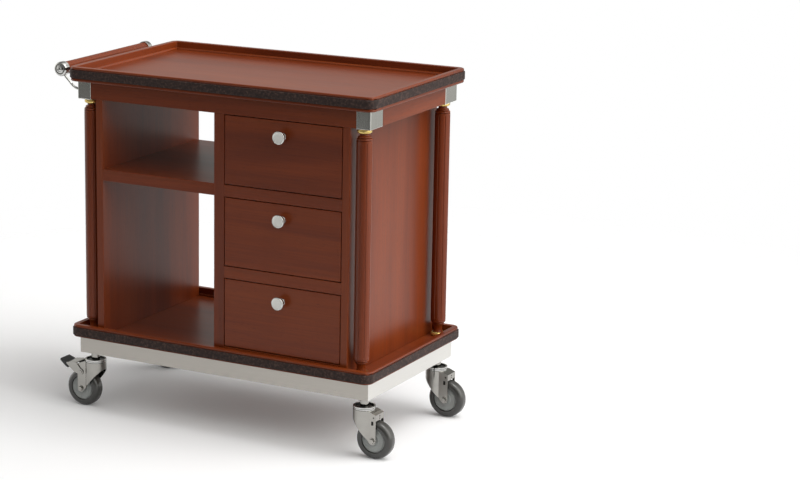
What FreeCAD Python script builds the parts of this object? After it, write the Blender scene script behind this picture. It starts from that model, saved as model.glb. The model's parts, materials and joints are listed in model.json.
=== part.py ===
"""Serving trolley: a rimmed tray on four fluted columns, an open bay and three drawers, a rimmed base on casters.

Millimetres, +Z up. +X points away from the handle and -Y is the side that the drawers open to. The pieces are
drawn about the middle of the trays and then moved along X by row_shift, so that the origin lies on the floor
under the middle of the whole trolley, handle and trailing casters included.
"""
import FreeCAD
import Part
import math
import os

# Overall size: its length is the tray's and the reach of the handle past it
tray_length = 812.0
handle_reach = 68.0
overall_width = 480.0
overall_height = 840.0

# Trays: the top one and the base are built alike
tray_recess = 20.0
tray_corner = 22.0
rim_width = 14.0
rim_inner_edge = 1.5
strip_inset = 2.5
strip_top = 6.5
tray_strip_low = 7.5
base_strip_low = 3.0
strip_edge = 3.0
bumper_height = 20.0
bumper_thickness = 5.0
bumper_edge = 2.5
bead_radius = 5.0
bead_seat = 1.0
base_low_edge = 1.5

# Frame under the top tray: metal corner blocks and wooden aprons
apron_end_inset = 17.5
apron_side_inset = 22.0
block_length = 36.5
block_width = 60.0
block_height = 44.0
block_bevel = 1.5
apron_height = 42.0
apron_thickness = 20.0

# Turned columns and their brass rings
column_end_inset = 25.5
column_side_inset = 21.0
column_radius = 18.0
column_flutes = 8
flute_radius = 2.0
flute_depth = 1.0
flute_end_gap = 6.0
neck_radius = 10.0
neck_cove = 2.4
top_neck = 6.5
foot_neck = 18.5
top_rolls = ((5.2, 17.8), (5.0, 15.0))
foot_rolls = ((5.5, 17.8), (5.3, 14.6))
ring_radius = 17.0
ring_height = 10.0
ring_edge = 4.0
tenon_radius = 8.0
tenon_depth = 20.0
fit_gap = 0.1

# Carcass
carcass_end_inset = 50.5
panel_thickness = 18.0
divider_thickness = 27.0
bottom_rail = 21.5
rail_height = 28.0
rail_depth = 28.0
shelf_setback = 10.0
back_thickness = 8.0
back_setback = 4.0

# Drawers and their runners
drawer_groove = 2.0
drawer_front_thickness = 18.0
drawer_edge = 1.0
box_side_gap = 3.0
box_floor_gap = 10.0
box_top_gap = 19.3
box_back_gap = 16.0
box_board = 14.0
box_back_board = 12.0
box_bottom_board = 6.0
box_bottom_lift = 8.0
runner_height = 14.0
runner_reach = 10.0
runner_gap = 0.5
runner_setback = 2.0
runner_back_gap = 18.0

# Knobs
knob_projection = 22.0
knob_radius = 15.5
knob_rim = 6.5
knob_rim_edge = 2.6
knob_dish = 0.8
knob_neck_radius = 5.5
knob_foot_radius = 9.5
knob_foot = 3.5
knob_drop = 37.0
spigot_radius = 3.0
spigot_length = 13.0

# Stainless frame under the base, a channel open on top
frame_end_inset = 15.0
frame_side_inset = 25.0
frame_height = 43.5
channel_width = 50.0
sheet = 2.0

# Casters
caster_inset_x = 24.0
caster_inset_y = 29.0
caster_trail = 31.0
wheel_radius = 45.0
tyre_half = 16.0
tyre_depth = 16.5
tyre_shoulder = 12.0
tyre_lip = 1.5
hub_inset = 2.0
hub_relief = 1.4
hub_ring_shares = (0.40, 0.52, 0.86, 0.93)
boss_radius = 7.5
boss_gap = 0.4
axle_radius = 4.0
axle_washer_radius = 8.0
axle_washer = 1.0
axle_head = 4.0
axle_head_radius = 6.0
run_gap = 0.05

# Caster fork and head: a drop is measured down from the fork's top, and a lead from the axle towards the tail
fork_sheet = 2.2
fork_radius = 26.0
fork_clearance = 23.0
leg_gap = 2.0
fork_tail = 9.0
fork_tail_drop = 6.0
fork_slope = 16.0
skirt_drop = 15.0
bridge_drop = 20.5
bridge_hole = 2.0
bridge_hole_drops = (5.5, 11.0)
cup_height = 8.0
cup_wall = 3.5
cup_groove_rises = (0.8, 4.2)
cup_groove = 1.0
leg_hole_radius = 1.8
leg_hole_lead = 3.2
leg_hole_drop = 12.5
leg_slot_lead = 0.3
leg_slot_drop = 26.0
leg_slot_width = 5.4
leg_slot_height = 9.5

# Caster stem, its flange in the cup, and the socket in the frame
stem_radius = 8.0
stem_gap = 6.0
collar_radius = 10.4
collar_top = 27.5
flange_gap = 0.7
flange_height = 4.7
pin_radius = 5.0
pin_head_radius = 8.0
pin_head = 3.0
play = 0.3
socket_wall = 2.0
socket_gap = 3.5

# Brakes of the two casters at the handle end
lever_sheet = 2.0
lever_gap = 0.4
lever_end_radius = 8.0
lever_pin_radius = 3.0
lever_pin_head_radius = 4.6
lever_pin_head = 1.2
lever_tip_lead = 40.0
lever_tip_drop = 7.0
lever_tip_depth = 3.5
lever_top_lead = 20.0
lever_top_drop = 4.0
lever_waist_lead = 18.0
lever_waist_drop = 27.5
web_gap = 2.5
tongue_half = 9.0
tongue_setback = 5.0
tongue_gap = 4.2
tongue_angle = 129.0
pedal_side_gap = 1.6
pedal_lap = 1.5
pedal_root_drop = 22.0
pedal_heel_reach = 5.0
pedal_heel_drop = 19.0
pedal_reach = 21.0
pedal_tip_drop = 0.5
pedal_tip_depth = 5.0
pedal_edge = 1.2

# Handle
grip_radius = 15.0
grip_flutes = 14
grip_flute_radius = 2.4
grip_flute_depth = 1.0
grip_past_rod = 5.0
cap_radius = 17.5
cap_past_rod = 9.5
cap_length = 20.0
cap_wall = 2.3
cap_edge = 5.0
cap_disc_radius = 9.3
cap_groove = 1.2
cap_dome = 2.0
handle_drop = 17.5
rod_radius = 3.0
rod_inset = 32.5
rod_rise = 17.0
rod_seat = 10.0
rod_slope = 44.0
rod_bend = 30.0
rod_aim = 5.7

# Overrun of every cut past the face that it starts from, and the margin within which two places count as one
overrun = 5.0
margin = 0.01
half_turn = 180.0
quarter_turn = 90.0
full_turn = 360.0

# Places worked out from the sizes above
half_x = tray_length / 2
half_y = overall_width / 2
tray_height = strip_top + bumper_height + tray_strip_low
base_height = strip_top + bumper_height + base_strip_low
tray_bottom = overall_height - tray_height
fork_top = 2 * wheel_radius + fork_clearance
caster_height = fork_top + collar_top
base_bottom = caster_height + frame_height
base_top = base_bottom + base_height
floor_z = base_top - tray_recess
face_x = half_x - apron_end_inset
face_y = half_y - apron_side_inset
apron_bottom = tray_bottom - apron_height
block_bottom = tray_bottom - block_height
inner_x = half_x - strip_inset - rim_width
inner_y = half_y - strip_inset - rim_width
inner_corner = tray_corner - strip_inset - rim_width
column_x = face_x - column_end_inset
column_y = face_y - column_side_inset
panel_outer = face_x - carcass_end_inset
panel_face = panel_outer - panel_thickness
divider_face = divider_thickness / 2
back_face = face_y - back_setback - back_thickness
drawer_floor = floor_z + bottom_rail
opening_height = (apron_bottom - drawer_floor - 2 * rail_height) / 3
box_height = opening_height - box_floor_gap - box_top_gap
box_front = drawer_front_thickness - face_y
box_length = back_face - box_back_gap - box_front
runner_front = rail_depth - face_y + runner_setback
runner_length = back_face - runner_back_gap - runner_front
drawer_levels = [drawer_floor + level * (opening_height + rail_height) for level in range(3)]
drawer_names = ("bottom", "middle", "top")
drawer_mid = (divider_face + panel_face) / 2
shelf_bottom = drawer_levels[2] - rail_height
frame_x = half_x - frame_end_inset
frame_y = half_y - frame_side_inset
caster_x = frame_x - caster_inset_x
caster_y = frame_y - caster_inset_y
hub_radius = wheel_radius - tyre_depth
hub_half = tyre_half - hub_inset
leg_inner = tyre_half + leg_gap
fork_half = leg_inner + fork_sheet
boss_half = leg_inner - boss_gap
fork_tail_x = caster_trail + fork_tail
fork_tail_top = fork_top - fork_tail_drop
skirt_low = fork_top - skirt_drop
bridge_low = fork_top - bridge_drop
cup_top = fork_top + cup_height
cup_bore = fork_radius - cup_wall
leg_hole_x = caster_trail + leg_hole_lead
leg_hole_z = fork_top - leg_hole_drop
leg_slot_x = caster_trail + leg_slot_lead
leg_slot_z = fork_top - leg_slot_drop
flange_radius = cup_bore - flange_gap
socket_length = frame_height - sheet - socket_gap
stem_length = sheet + socket_length - stem_gap
lever_inner = fork_half + lever_gap
lever_outer = lever_inner + lever_sheet
lever_tip_x = caster_trail + lever_tip_lead
lever_tip_top = fork_top - lever_tip_drop
lever_tip_low = lever_tip_top - lever_tip_depth
lever_top_x = caster_trail + lever_top_lead
lever_top_z = fork_top - lever_top_drop
lever_waist_x = caster_trail + lever_waist_lead
lever_waist_z = fork_top - lever_waist_drop
web_start_x = fork_tail_x + web_gap
tongue_top_x = lever_tip_x - tongue_setback
pedal_half = lever_inner - pedal_side_gap
pedal_root_x = lever_tip_x - pedal_lap
pedal_root_low = fork_top - pedal_root_drop
pedal_heel_x = lever_tip_x + pedal_heel_reach
pedal_heel_z = fork_top - pedal_heel_drop
pedal_tip_x = lever_tip_x + pedal_reach
pedal_tip_top = fork_top - pedal_tip_drop
pedal_tip_low = pedal_tip_top - pedal_tip_depth
grip_x = cap_radius - half_x - handle_reach
grip_z = overall_height - handle_drop
rod_y = face_y - rod_inset
rod_z = block_bottom + rod_rise
rod_bend_x = grip_x + (grip_z - rod_aim - rod_z) / math.tan(math.radians(rod_slope))
grip_half = rod_y + grip_past_rod
cap_half = rod_y + cap_past_rod
left_reach = half_x + handle_reach
right_reach = caster_x + caster_trail + wheel_radius
row_shift = (left_reach - right_reach) / 2
corners = {"front_left": (-1, -1), "front_right": (1, -1), "back_left": (-1, 1), "back_right": (1, 1)}


def vec(x, y, z):
    return FreeCAD.Vector(x, y, z)


along_x = vec(1, 0, 0)
along_y = vec(0, 1, 0)
along_z = vec(0, 0, 1)
centre = vec(0, 0, 0)


def save(node, *solids):
    """Move the solids of one node into the row frame and write them to one file."""
    shape = solids[0] if len(solids) == 1 else Part.makeCompound(list(solids))
    shape = shape.copy()
    shape.translate(vec(row_shift, 0, 0))
    shape.exportStep("parts/" + node + ".step")


def box(x0, x1, y0, y1, z0, z1):
    return Part.makeBox(x1 - x0, y1 - y0, z1 - z0, vec(x0, y0, z0))


def rod(start, direction, radius, length):
    return Part.makeCylinder(radius, length, start, direction)


def level_edges(shape, z):
    """Edges that lie wholly at the height z."""
    return [edge for edge in shape.Edges
            if abs(edge.BoundBox.ZMin - z) < margin and abs(edge.BoundBox.ZMax - z) < margin]


def prism(reach_x, reach_y, corner, low, high, top_edge=0.0, low_edge=0.0):
    """Upright block about the middle with rounded corners, and rounded rims at its two ends."""
    shape = box(-reach_x, reach_x, -reach_y, reach_y, low, high)
    upright = [edge for edge in shape.Edges if edge.BoundBox.ZLength > margin]
    shape = shape.makeFillet(corner, upright)
    if top_edge:
        shape = shape.makeFillet(top_edge, level_edges(shape, high))
    if low_edge:
        shape = shape.makeFillet(low_edge, level_edges(shape, low))
    return shape


def outline_solid(points, along, start, length):
    """Straight-sided outline, given as (x, z) or as (x, y), pushed out by a length."""
    if along == "y":
        corners_3d = [vec(x, start, z) for x, z in points]
        push = vec(0, length, 0)
    else:
        corners_3d = [vec(x, y, start) for x, y in points]
        push = vec(0, 0, length)
    return Part.Face(Part.makePolygon(corners_3d + corners_3d[:1])).extrude(push)


def turned(edges, axis):
    """Solid of revolution about an axis through the origin."""
    return Part.Face(Part.Wire(edges)).revolve(centre, axis, full_turn)


def polyline(points):
    """Straight edges through points, leaving out any that fall together."""
    return [Part.makeLine(a, b) for a, b in zip(points, points[1:]) if (b - a).Length > margin]


def moved(shape, x=0.0, y=0.0, z=0.0):
    copy = shape.copy()
    copy.translate(vec(x, y, z))
    return copy


def mitre_wedges():
    """Four sectors that part a tray's rim at its corners, each with the axis and foot of its own rail."""
    out_x, out_y = half_x + overrun, half_y + overrun
    in_x, in_y = out_x - rim_width * 3, out_y - rim_width * 3
    sides = ([(out_x, out_y), (in_x, in_y), (in_x, -in_y), (out_x, -out_y)],
             [(-out_x, out_y), (-out_x, -out_y), (-in_x, -in_y), (-in_x, in_y)],
             [(out_x, out_y), (-out_x, out_y), (-in_x, in_y), (in_x, in_y)],
             [(out_x, -out_y), (in_x, -in_y), (-in_x, -in_y), (-out_x, -out_y)])
    feet = (("x", inner_x), ("x", -inner_x), ("y", inner_y), ("y", -inner_y))
    return [(outline_solid(side, "z", -overrun, overall_height + 2 * overrun), foot)
            for side, foot in zip(sides, feet)]


def tray_rails(top, height, low_edge):
    """The four mitred rim mouldings of a tray, with the groove that holds the bumper."""
    low = top - height
    strip_x, strip_y = half_x - strip_inset, half_y - strip_inset
    rim = prism(strip_x, strip_y, tray_corner - strip_inset, low, top, strip_edge, low_edge)
    rim = rim.cut(prism(inner_x, inner_y, inner_corner, low - overrun, top + overrun))
    band_top = top - strip_top
    band = box(-half_x - overrun, half_x + overrun, -half_y - overrun, half_y + overrun,
               band_top - bumper_height, band_top)
    band = band.cut(prism(half_x - bumper_thickness, half_y - bumper_thickness, tray_corner - bumper_thickness,
                          low - overrun, top + overrun))
    rim = rim.cut(band)
    inner_edges = [edge for edge in level_edges(rim, top)
                   if edge.BoundBox.XMax < inner_x + margin and edge.BoundBox.XMin > -inner_x - margin
                   and edge.BoundBox.YMax < inner_y + margin and edge.BoundBox.YMin > -inner_y - margin]
    rim = rim.makeFillet(rim_inner_edge, inner_edges)
    return [rim.common(wedge).Solids[0] for wedge, foot in mitre_wedges()]


def bead_bar(reach, length, across):
    """Quarter bead with its square foot, run along one side of a well, its round top at z = 0 to the radius."""
    sign = math.copysign(1, reach)
    bow = bead_radius * math.sqrt(0.5)
    profile = [(reach, bead_radius), (reach, -bead_seat), (reach - sign * bead_radius, -bead_seat),
               (reach - sign * bead_radius, 0)]
    middle = (reach - sign * bow, bow)

    def place(point):
        return vec(point[0], -length, point[1]) if across == "x" else vec(-length, point[0], point[1])
    edges = polyline([place(point) for point in profile])
    edges.append(Part.Arc(place(profile[-1]), place(middle), place(profile[0])).toShape())
    push = along_y if across == "x" else along_x
    return Part.Face(Part.Wire(edges)).extrude(push * (2 * length))


def tray_beads(top):
    """Quarter beads in the corner between a tray's panel and the inner face of its rim."""
    foot_z = top - tray_recess
    well = prism(inner_x, inner_y, inner_corner, foot_z - bead_seat, foot_z + bead_radius)
    beads = []
    for wedge, (across, place) in mitre_wedges():
        bar = moved(bead_bar(place, inner_y if across == "x" else inner_x, across), 0, 0, foot_z)
        beads.append(well.common(bar).common(wedge).Solids[0])
    return beads


def tray_panel(low, top):
    """Panel of a tray, rebated along its edge for the foot of the beads."""
    panel = prism(inner_x, inner_y, inner_corner, low, top)
    rebate = box(-half_x, half_x, -half_y, half_y, top - bead_seat, top + overrun)
    flat_x, flat_y = inner_x - bead_radius, inner_y - bead_radius
    return panel.cut(rebate.cut(box(-flat_x, flat_x, -flat_y, flat_y, low, top + 2 * overrun)))


def tray_bumper(top):
    """Soft band round a tray, the widest part of it."""
    high = top - strip_top
    low = high - bumper_height
    band = prism(half_x, half_y, tray_corner, low, high, bumper_edge, bumper_edge)
    return band.cut(prism(half_x - bumper_thickness, half_y - bumper_thickness,
                          tray_corner - bumper_thickness, low - overrun, high + overrun))


def trays():
    save("tray_rim", *tray_rails(overall_height, tray_height, strip_edge))
    save("tray_bumper", tray_bumper(overall_height))
    save("tray_panel", tray_panel(tray_bottom, overall_height - tray_recess))
    save("base_rim", *tray_rails(base_top, base_height, base_low_edge))
    save("base_bumper", tray_bumper(base_top))
    base_panel = tray_panel(base_bottom, floor_z)
    for end, side in corners.values():
        hole = rod(vec(end * column_x, side * column_y, base_bottom - overrun), along_z,
                   tenon_radius + fit_gap, tray_height + overrun)
        base_panel = base_panel.cut(hole)
    save("base_panel", base_panel)
    save("rim_beads", *tray_beads(overall_height), *tray_beads(base_top))


def top_frame():
    """Metal corner blocks and the aprons between them."""
    blocks = []
    for end, side in corners.values():
        x0, x1 = sorted((end * face_x, end * (face_x - block_length)))
        y0, y1 = sorted((side * face_y, side * (face_y - block_width)))
        block = box(x0, x1, y0, y1, block_bottom, tray_bottom)
        block = block.makeChamfer(block_bevel, block.Edges)
        block = block.cut(rod(vec(end * column_x, side * column_y, block_bottom - overrun), along_z,
                              tenon_radius + fit_gap, tenon_depth + overrun + fit_gap))
        if end < 0:
            block = block.cut(rod(vec(-face_x - overrun, side * rod_y, rod_z), along_x,
                                  rod_radius + fit_gap, rod_seat + overrun + fit_gap))
        blocks.append(block)
    save("corner_blocks", *blocks)
    reach_x = face_x - block_length
    reach_y = face_y - block_width
    save("apron_front", box(-reach_x, reach_x, -face_y, apron_thickness - face_y, apron_bottom, tray_bottom))
    save("apron_back", box(-reach_x, reach_x, face_y - apron_thickness, face_y, apron_bottom, tray_bottom))
    save("apron_left", box(-face_x, apron_thickness - face_x, -reach_y, reach_y, apron_bottom, tray_bottom))
    save("apron_right", box(face_x - apron_thickness, face_x, -reach_y, reach_y, apron_bottom, tray_bottom))


def roll(radius, low, high):
    """Half-round bead of a turned profile, as its upright chord's ends and its outermost point."""
    root = radius - (high - low) / 2
    return Part.Arc(vec(root, 0, low), vec(radius, 0, (low + high) / 2), vec(root, 0, high)).toShape()


def cove(low, high):
    """Hollow neck of a turned profile."""
    rim = neck_radius + neck_cove
    return Part.Arc(vec(rim, 0, low), vec(neck_radius, 0, (low + high) / 2), vec(rim, 0, high)).toShape()


def join(edges, points):
    """Close the gaps between the curved edges of a turned profile with straight ones."""
    whole = []
    last = points[0]
    for edge in edges:
        start, end = edge.Vertexes[0].Point, edge.Vertexes[-1].Point
        whole += polyline([last, start]) + [edge]
        last = end
    return whole + polyline([last] + points[1:])


def flute_cutters(count, radius, cutter_radius, depth, low, high, rounded):
    """Round-nosed cutters on a circle, for hollow flutes of one depth."""
    centre_radius = radius + cutter_radius - depth
    cutters = []
    for number in range(count):
        angle = 2 * math.pi * number / count
        start = vec(centre_radius * math.cos(angle), centre_radius * math.sin(angle), low)
        cutter = rod(start, along_z, cutter_radius, high - low)
        if rounded:
            for end_z in (low, high):
                cutter = cutter.fuse(Part.makeSphere(cutter_radius, vec(start.x, start.y, end_z)))
        cutters.append(cutter)
    return cutters


def column():
    """One turned and fluted column with a tenon at each end, about the Z axis."""
    neck_low = floor_z + ring_height
    neck_high = block_bottom - ring_height
    z = neck_low + foot_neck
    curves = [cove(neck_low, z)]
    for height, radius in reversed(foot_rolls):
        curves.append(roll(radius, z, z + height))
        z += height
    shaft_low = z
    shaft_high = neck_high - top_neck - sum(height for height, radius in top_rolls)
    curves.append(polyline([vec(column_radius, 0, shaft_low), vec(column_radius, 0, shaft_high)])[0])
    z = shaft_high
    for height, radius in top_rolls:
        curves.append(roll(radius, z, z + height))
        z += height
    curves.append(cove(z, neck_high))
    foot = base_bottom + play
    head = block_bottom + tenon_depth
    profile = join(curves, [vec(tenon_radius, 0, neck_low), vec(tenon_radius, 0, neck_high),
                            vec(tenon_radius, 0, head), vec(0, 0, head), vec(0, 0, foot),
                            vec(tenon_radius, 0, foot), vec(tenon_radius, 0, neck_low)])
    body = turned(profile, along_z)
    flute_low = shaft_low + flute_end_gap
    flute_high = shaft_high - flute_end_gap
    return body.cut(flute_cutters(column_flutes, column_radius, flute_radius, flute_depth,
                                  flute_low, flute_high, True))


def brass_ring(low):
    """Ring round a column's tenon, rounded at both rims."""
    outer = rod(vec(0, 0, low), along_z, ring_radius, ring_height)
    outer = outer.makeFillet(ring_edge, level_edges(outer, low) + level_edges(outer, low + ring_height))
    return outer.cut(rod(vec(0, 0, low - overrun), along_z, tenon_radius + fit_gap, ring_height + 2 * overrun))


def columns():
    turned_column = column()
    foot_ring = brass_ring(floor_z)
    head_ring = brass_ring(block_bottom - ring_height)
    rings = []
    for place, (end, side) in corners.items():
        save("column_" + place, moved(turned_column, end * column_x, side * column_y))
        rings += [moved(ring, end * column_x, side * column_y) for ring in (foot_ring, head_ring)]
    save("column_rings", *rings)


def notched_board(x0, x1):
    """Upright board from the base to the tray, cut back at the top for the front and back aprons."""
    body = box(x0, x1, -face_y, face_y, floor_z, apron_bottom)
    tongue_y = face_y - apron_thickness
    return body.fuse(box(x0, x1, -tongue_y, tongue_y, apron_bottom, tray_bottom)).removeSplitter()


def carcass():
    save("side_panel_left", notched_board(-panel_outer, -panel_face))
    save("side_panel_right", notched_board(panel_face, panel_outer))
    save("divider_panel", notched_board(-divider_face, divider_face))
    save("bay_shelf", box(-panel_face, -divider_face, -face_y, face_y - shelf_setback,
                          shelf_bottom, shelf_bottom + rail_height))
    save("back_panel", box(divider_face, panel_face, back_face, back_face + back_thickness,
                           floor_z, apron_bottom))
    rails = [box(divider_face, panel_face, -face_y, rail_depth - face_y, floor_z, drawer_floor)]
    rails += [box(divider_face, panel_face, -face_y, rail_depth - face_y, level - rail_height, level)
              for level in drawer_levels[1:]]
    save("drawer_rails", *rails)
    runners = []
    for level in drawer_levels:
        low = level + box_floor_gap + (box_height - runner_height) / 2
        for x0, x1 in ((divider_face, divider_face + runner_reach), (panel_face - runner_reach, panel_face)):
            runners.append(box(x0, x1, runner_front, runner_front + runner_length, low, low + runner_height))
    save("drawer_runners", *runners)


def drawer_front(level):
    """Flush front with a dark joint all round and a hole for the knob's spigot."""
    front = box(divider_face + drawer_groove, panel_face - drawer_groove, -face_y, box_front,
                level + drawer_groove, level + opening_height - drawer_groove)
    face_edges = [edge for edge in front.Edges if edge.BoundBox.YMax < margin - face_y]
    front = front.makeFillet(drawer_edge, face_edges)
    knob_z = level + opening_height - knob_drop
    return front.cut(rod(vec(drawer_mid, -face_y - overrun, knob_z), along_y,
                         spigot_radius + fit_gap, spigot_length + overrun + fit_gap))


def drawer_box(level):
    """Two grooved sides, a back and a bottom, as four boards."""
    x0 = divider_face + box_side_gap
    x1 = panel_face - box_side_gap
    back_y = box_front + box_length
    low = level + box_floor_gap
    high = low + box_height
    groove_low = low + (box_height - runner_height) / 2 - runner_gap
    groove_high = groove_low + runner_height + 2 * runner_gap
    groove_depth = runner_reach - box_side_gap + runner_gap
    groove_front = rail_depth - face_y
    sides = []
    for edge_x, inward in ((x0, 1), (x1, -1)):
        a, b = sorted((edge_x, edge_x + inward * box_board))
        c, d = sorted((edge_x - inward * overrun, edge_x + inward * groove_depth))
        side = box(a, b, box_front, back_y, low, high)
        sides.append(side.cut(box(c, d, groove_front, back_y + overrun, groove_low, groove_high)))
    back = box(x0 + box_board, x1 - box_board, back_y - box_back_board, back_y, low + box_bottom_lift, high)
    bottom_low = low + box_bottom_lift
    bottom = box(x0 + box_board, x1 - box_board, box_front, back_y - box_back_board,
                 bottom_low, bottom_low + box_bottom_board)
    return sides + [back, bottom]


def knob(level):
    """Mushroom knob with a flat, slightly dished face, turned about the Y axis, with its spigot."""
    face = -knob_projection
    head = face + knob_rim
    foot_y = -knob_foot
    root = knob_foot_radius - knob_neck_radius
    points = [vec(0, face + knob_dish, 0), vec(knob_radius - 2 * knob_rim_edge, face + knob_dish, 0),
              vec(knob_radius - knob_rim_edge, face, 0)]
    rim = Part.Arc(points[-1], vec(knob_radius, face + knob_rim_edge, 0),
                   vec(knob_radius - knob_rim_edge, face + 2 * knob_rim_edge, 0)).toShape()
    neck_start = vec(knob_neck_radius, head, 0)
    flare = Part.Arc(vec(knob_neck_radius, foot_y - root, 0),
                     vec(knob_neck_radius + root * (1 - math.sqrt(0.5)), foot_y - root * (1 - math.sqrt(0.5)), 0),
                     vec(knob_foot_radius, foot_y, 0)).toShape()
    edges = polyline(points) + [rim]
    edges += polyline([rim.Vertexes[-1].Point, neck_start, vec(knob_neck_radius, foot_y - root, 0)]) + [flare]
    edges += polyline([vec(knob_foot_radius, foot_y, 0), vec(knob_foot_radius, 0, 0), vec(spigot_radius, 0, 0),
                       vec(spigot_radius, spigot_length, 0), vec(0, spigot_length, 0), points[0]])
    return moved(turned(edges, along_y), drawer_mid, -face_y, level + opening_height - knob_drop)


def drawers():
    for name, level in zip(drawer_names, drawer_levels):
        save("drawer_" + name + "_front", drawer_front(level))
        save("drawer_" + name + "_box", *drawer_box(level))
        save("drawer_" + name + "_knob", knob(level))


def base_frame():
    """Channel frame of stainless sheet, open on top, and the tubes welded into it for the caster stems."""
    top = base_bottom
    low = caster_height
    frame = box(-frame_x, frame_x, -frame_y, frame_y, low, top)
    in_x, in_y = frame_x - channel_width, frame_y - channel_width
    frame = frame.cut(box(-in_x, in_x, -in_y, in_y, low - overrun, top + overrun))
    trough = box(sheet - frame_x, frame_x - sheet, sheet - frame_y, frame_y - sheet, low + sheet, top + overrun)
    trough = trough.cut(box(-in_x - sheet, in_x + sheet, -in_y - sheet, in_y + sheet, low, top + overrun))
    frame = frame.cut(trough)
    sockets = []
    for end, side in corners.values():
        x, y = end * caster_x, side * caster_y
        frame = frame.cut(rod(vec(x, y, low - overrun), along_z, stem_radius + fit_gap, sheet + 2 * overrun))
        tube = rod(vec(x, y, low + sheet), along_z, stem_radius + fit_gap + socket_wall, socket_length)
        sockets.append(tube.cut(rod(vec(x, y, low), along_z, stem_radius + fit_gap, frame_height)))
    save("base_frame", frame)
    save("caster_sockets", *sockets)


def caster_stem():
    """Stem, collar, flange that covers the race in the cup, and the pin that the fork turns on."""
    flange_low = fork_top + play
    flange_top = flange_low + flange_height
    head_top = fork_top - fork_sheet - play
    profile = [(0, head_top - pin_head), (pin_head_radius, head_top - pin_head), (pin_head_radius, head_top),
               (pin_radius, head_top), (pin_radius, flange_low), (flange_radius, flange_low),
               (flange_radius, flange_top), (collar_radius, flange_top), (collar_radius, caster_height),
               (stem_radius, caster_height), (stem_radius, caster_height + stem_length),
               (0, caster_height + stem_length), (0, head_top - pin_head)]
    return turned(polyline([vec(r, 0, z) for r, z in profile]), along_z)


def fork_plan(radius, half, tail, low, high):
    """Fork in plan: a round head that runs on into two straight flanks."""
    start_x = math.sqrt(radius ** 2 - half ** 2)
    arc = Part.Arc(vec(start_x, half, low), vec(-radius, 0, low), vec(start_x, -half, low)).toShape()
    flanks = polyline([vec(start_x, -half, low), vec(tail, -half, low), vec(tail, half, low),
                       vec(start_x, half, low)])
    return Part.Face(Part.Wire([arc] + flanks)).extrude(vec(0, 0, high - low))


def fork(braked):
    """Pressed fork of one caster about its swivel axis, the wheel trailing towards +X."""
    tail = fork_tail_x
    slope = fork_tail_drop / fork_slope
    drop = fork_sheet * math.sqrt(1 + slope ** 2)
    slope_start = tail - fork_slope
    low = wheel_radius - fork_tail
    width = 2 * fork_radius
    shell = fork_plan(fork_radius, fork_half, tail, low, fork_top)
    cavity = fork_plan(fork_radius - fork_sheet, leg_inner, tail - fork_sheet, low - overrun, fork_top)
    under = outline_solid([(-width, low - overrun), (-width, fork_top - fork_sheet),
                           (slope_start, fork_top - drop), (tail, fork_tail_top - drop),
                           (tail, low - overrun)], "y", -fork_radius, width)
    shell = shell.cut(cavity.common(under))
    reach = math.hypot(caster_trail + fork_radius, skirt_low - wheel_radius)
    lean = math.atan2(skirt_low - wheel_radius, caster_trail + fork_radius) + math.asin(fork_tail / reach)
    run = math.sqrt(reach ** 2 - fork_tail ** 2)
    touch = (-fork_radius + run * math.cos(lean), skirt_low - run * math.sin(lean))
    side = outline_solid([(-width, fork_top), (-width, skirt_low), (-fork_radius, skirt_low), touch,
                          (caster_trail, wheel_radius), (tail, wheel_radius), (tail, fork_tail_top),
                          (slope_start, fork_top)], "y", -fork_radius, width)
    side = side.fuse(rod(vec(caster_trail, -fork_radius, wheel_radius), along_y, fork_tail, width))
    shell = shell.common(side)
    shell = shell.cut(box(tail - fork_sheet - overrun, tail + overrun, -leg_inner, leg_inner, 0, bridge_low))
    cup = rod(vec(0, 0, fork_top - fork_sheet), along_z, fork_radius, cup_height + fork_sheet)
    cup = cup.cut(rod(vec(0, 0, fork_top), along_z, cup_bore, cup_top))
    for rise in cup_groove_rises:
        start = vec(0, 0, fork_top + rise)
        band = rod(start, along_z, width, cup_groove)
        cup = cup.cut(band.cut(rod(start, along_z, fork_radius - cup_groove, cup_groove)))
    body = shell.fuse(cup).removeSplitter()
    holes = [rod(vec(0, 0, fork_top - overrun), along_z, pin_radius + run_gap, 2 * overrun),
             rod(vec(caster_trail, -fork_radius, wheel_radius), along_y, axle_radius + run_gap, width),
             rod(vec(leg_hole_x, -fork_radius, leg_hole_z), along_y, leg_hole_radius, width)]
    holes += [rod(vec(tail - overrun, 0, fork_tail_top - hole_drop), along_x, bridge_hole, 2 * overrun)
              for hole_drop in bridge_hole_drops]
    if braked:
        holes.append(rod(vec(leg_slot_x, -fork_radius, leg_slot_z), along_y, lever_pin_radius + run_gap, width))
    else:
        holes.append(box(leg_slot_x - leg_slot_width / 2, leg_slot_x + leg_slot_width / 2, -fork_radius,
                         fork_radius, leg_slot_z - leg_slot_height / 2, leg_slot_z + leg_slot_height / 2))
    return body.cut(holes)


def axle():
    """Axle bolt with a washer and a hexagon outside each leg of the fork."""
    shaft = rod(vec(0, -fork_half, 0), along_y, axle_radius, 2 * fork_half)
    pieces = []
    hexagon = [(axle_head_radius * math.cos(math.pi * k / 3), axle_head_radius * math.sin(math.pi * k / 3))
               for k in range(6)]
    for start, washer_start in ((-fork_half - axle_washer - axle_head, -fork_half - axle_washer),
                                (fork_half + axle_washer, fork_half)):
        pieces.append(outline_solid(hexagon, "y", start, axle_head))
        pieces.append(rod(vec(0, washer_start, 0), along_y, axle_washer_radius, axle_washer))
    return shaft.fuse(pieces).removeSplitter()


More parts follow.
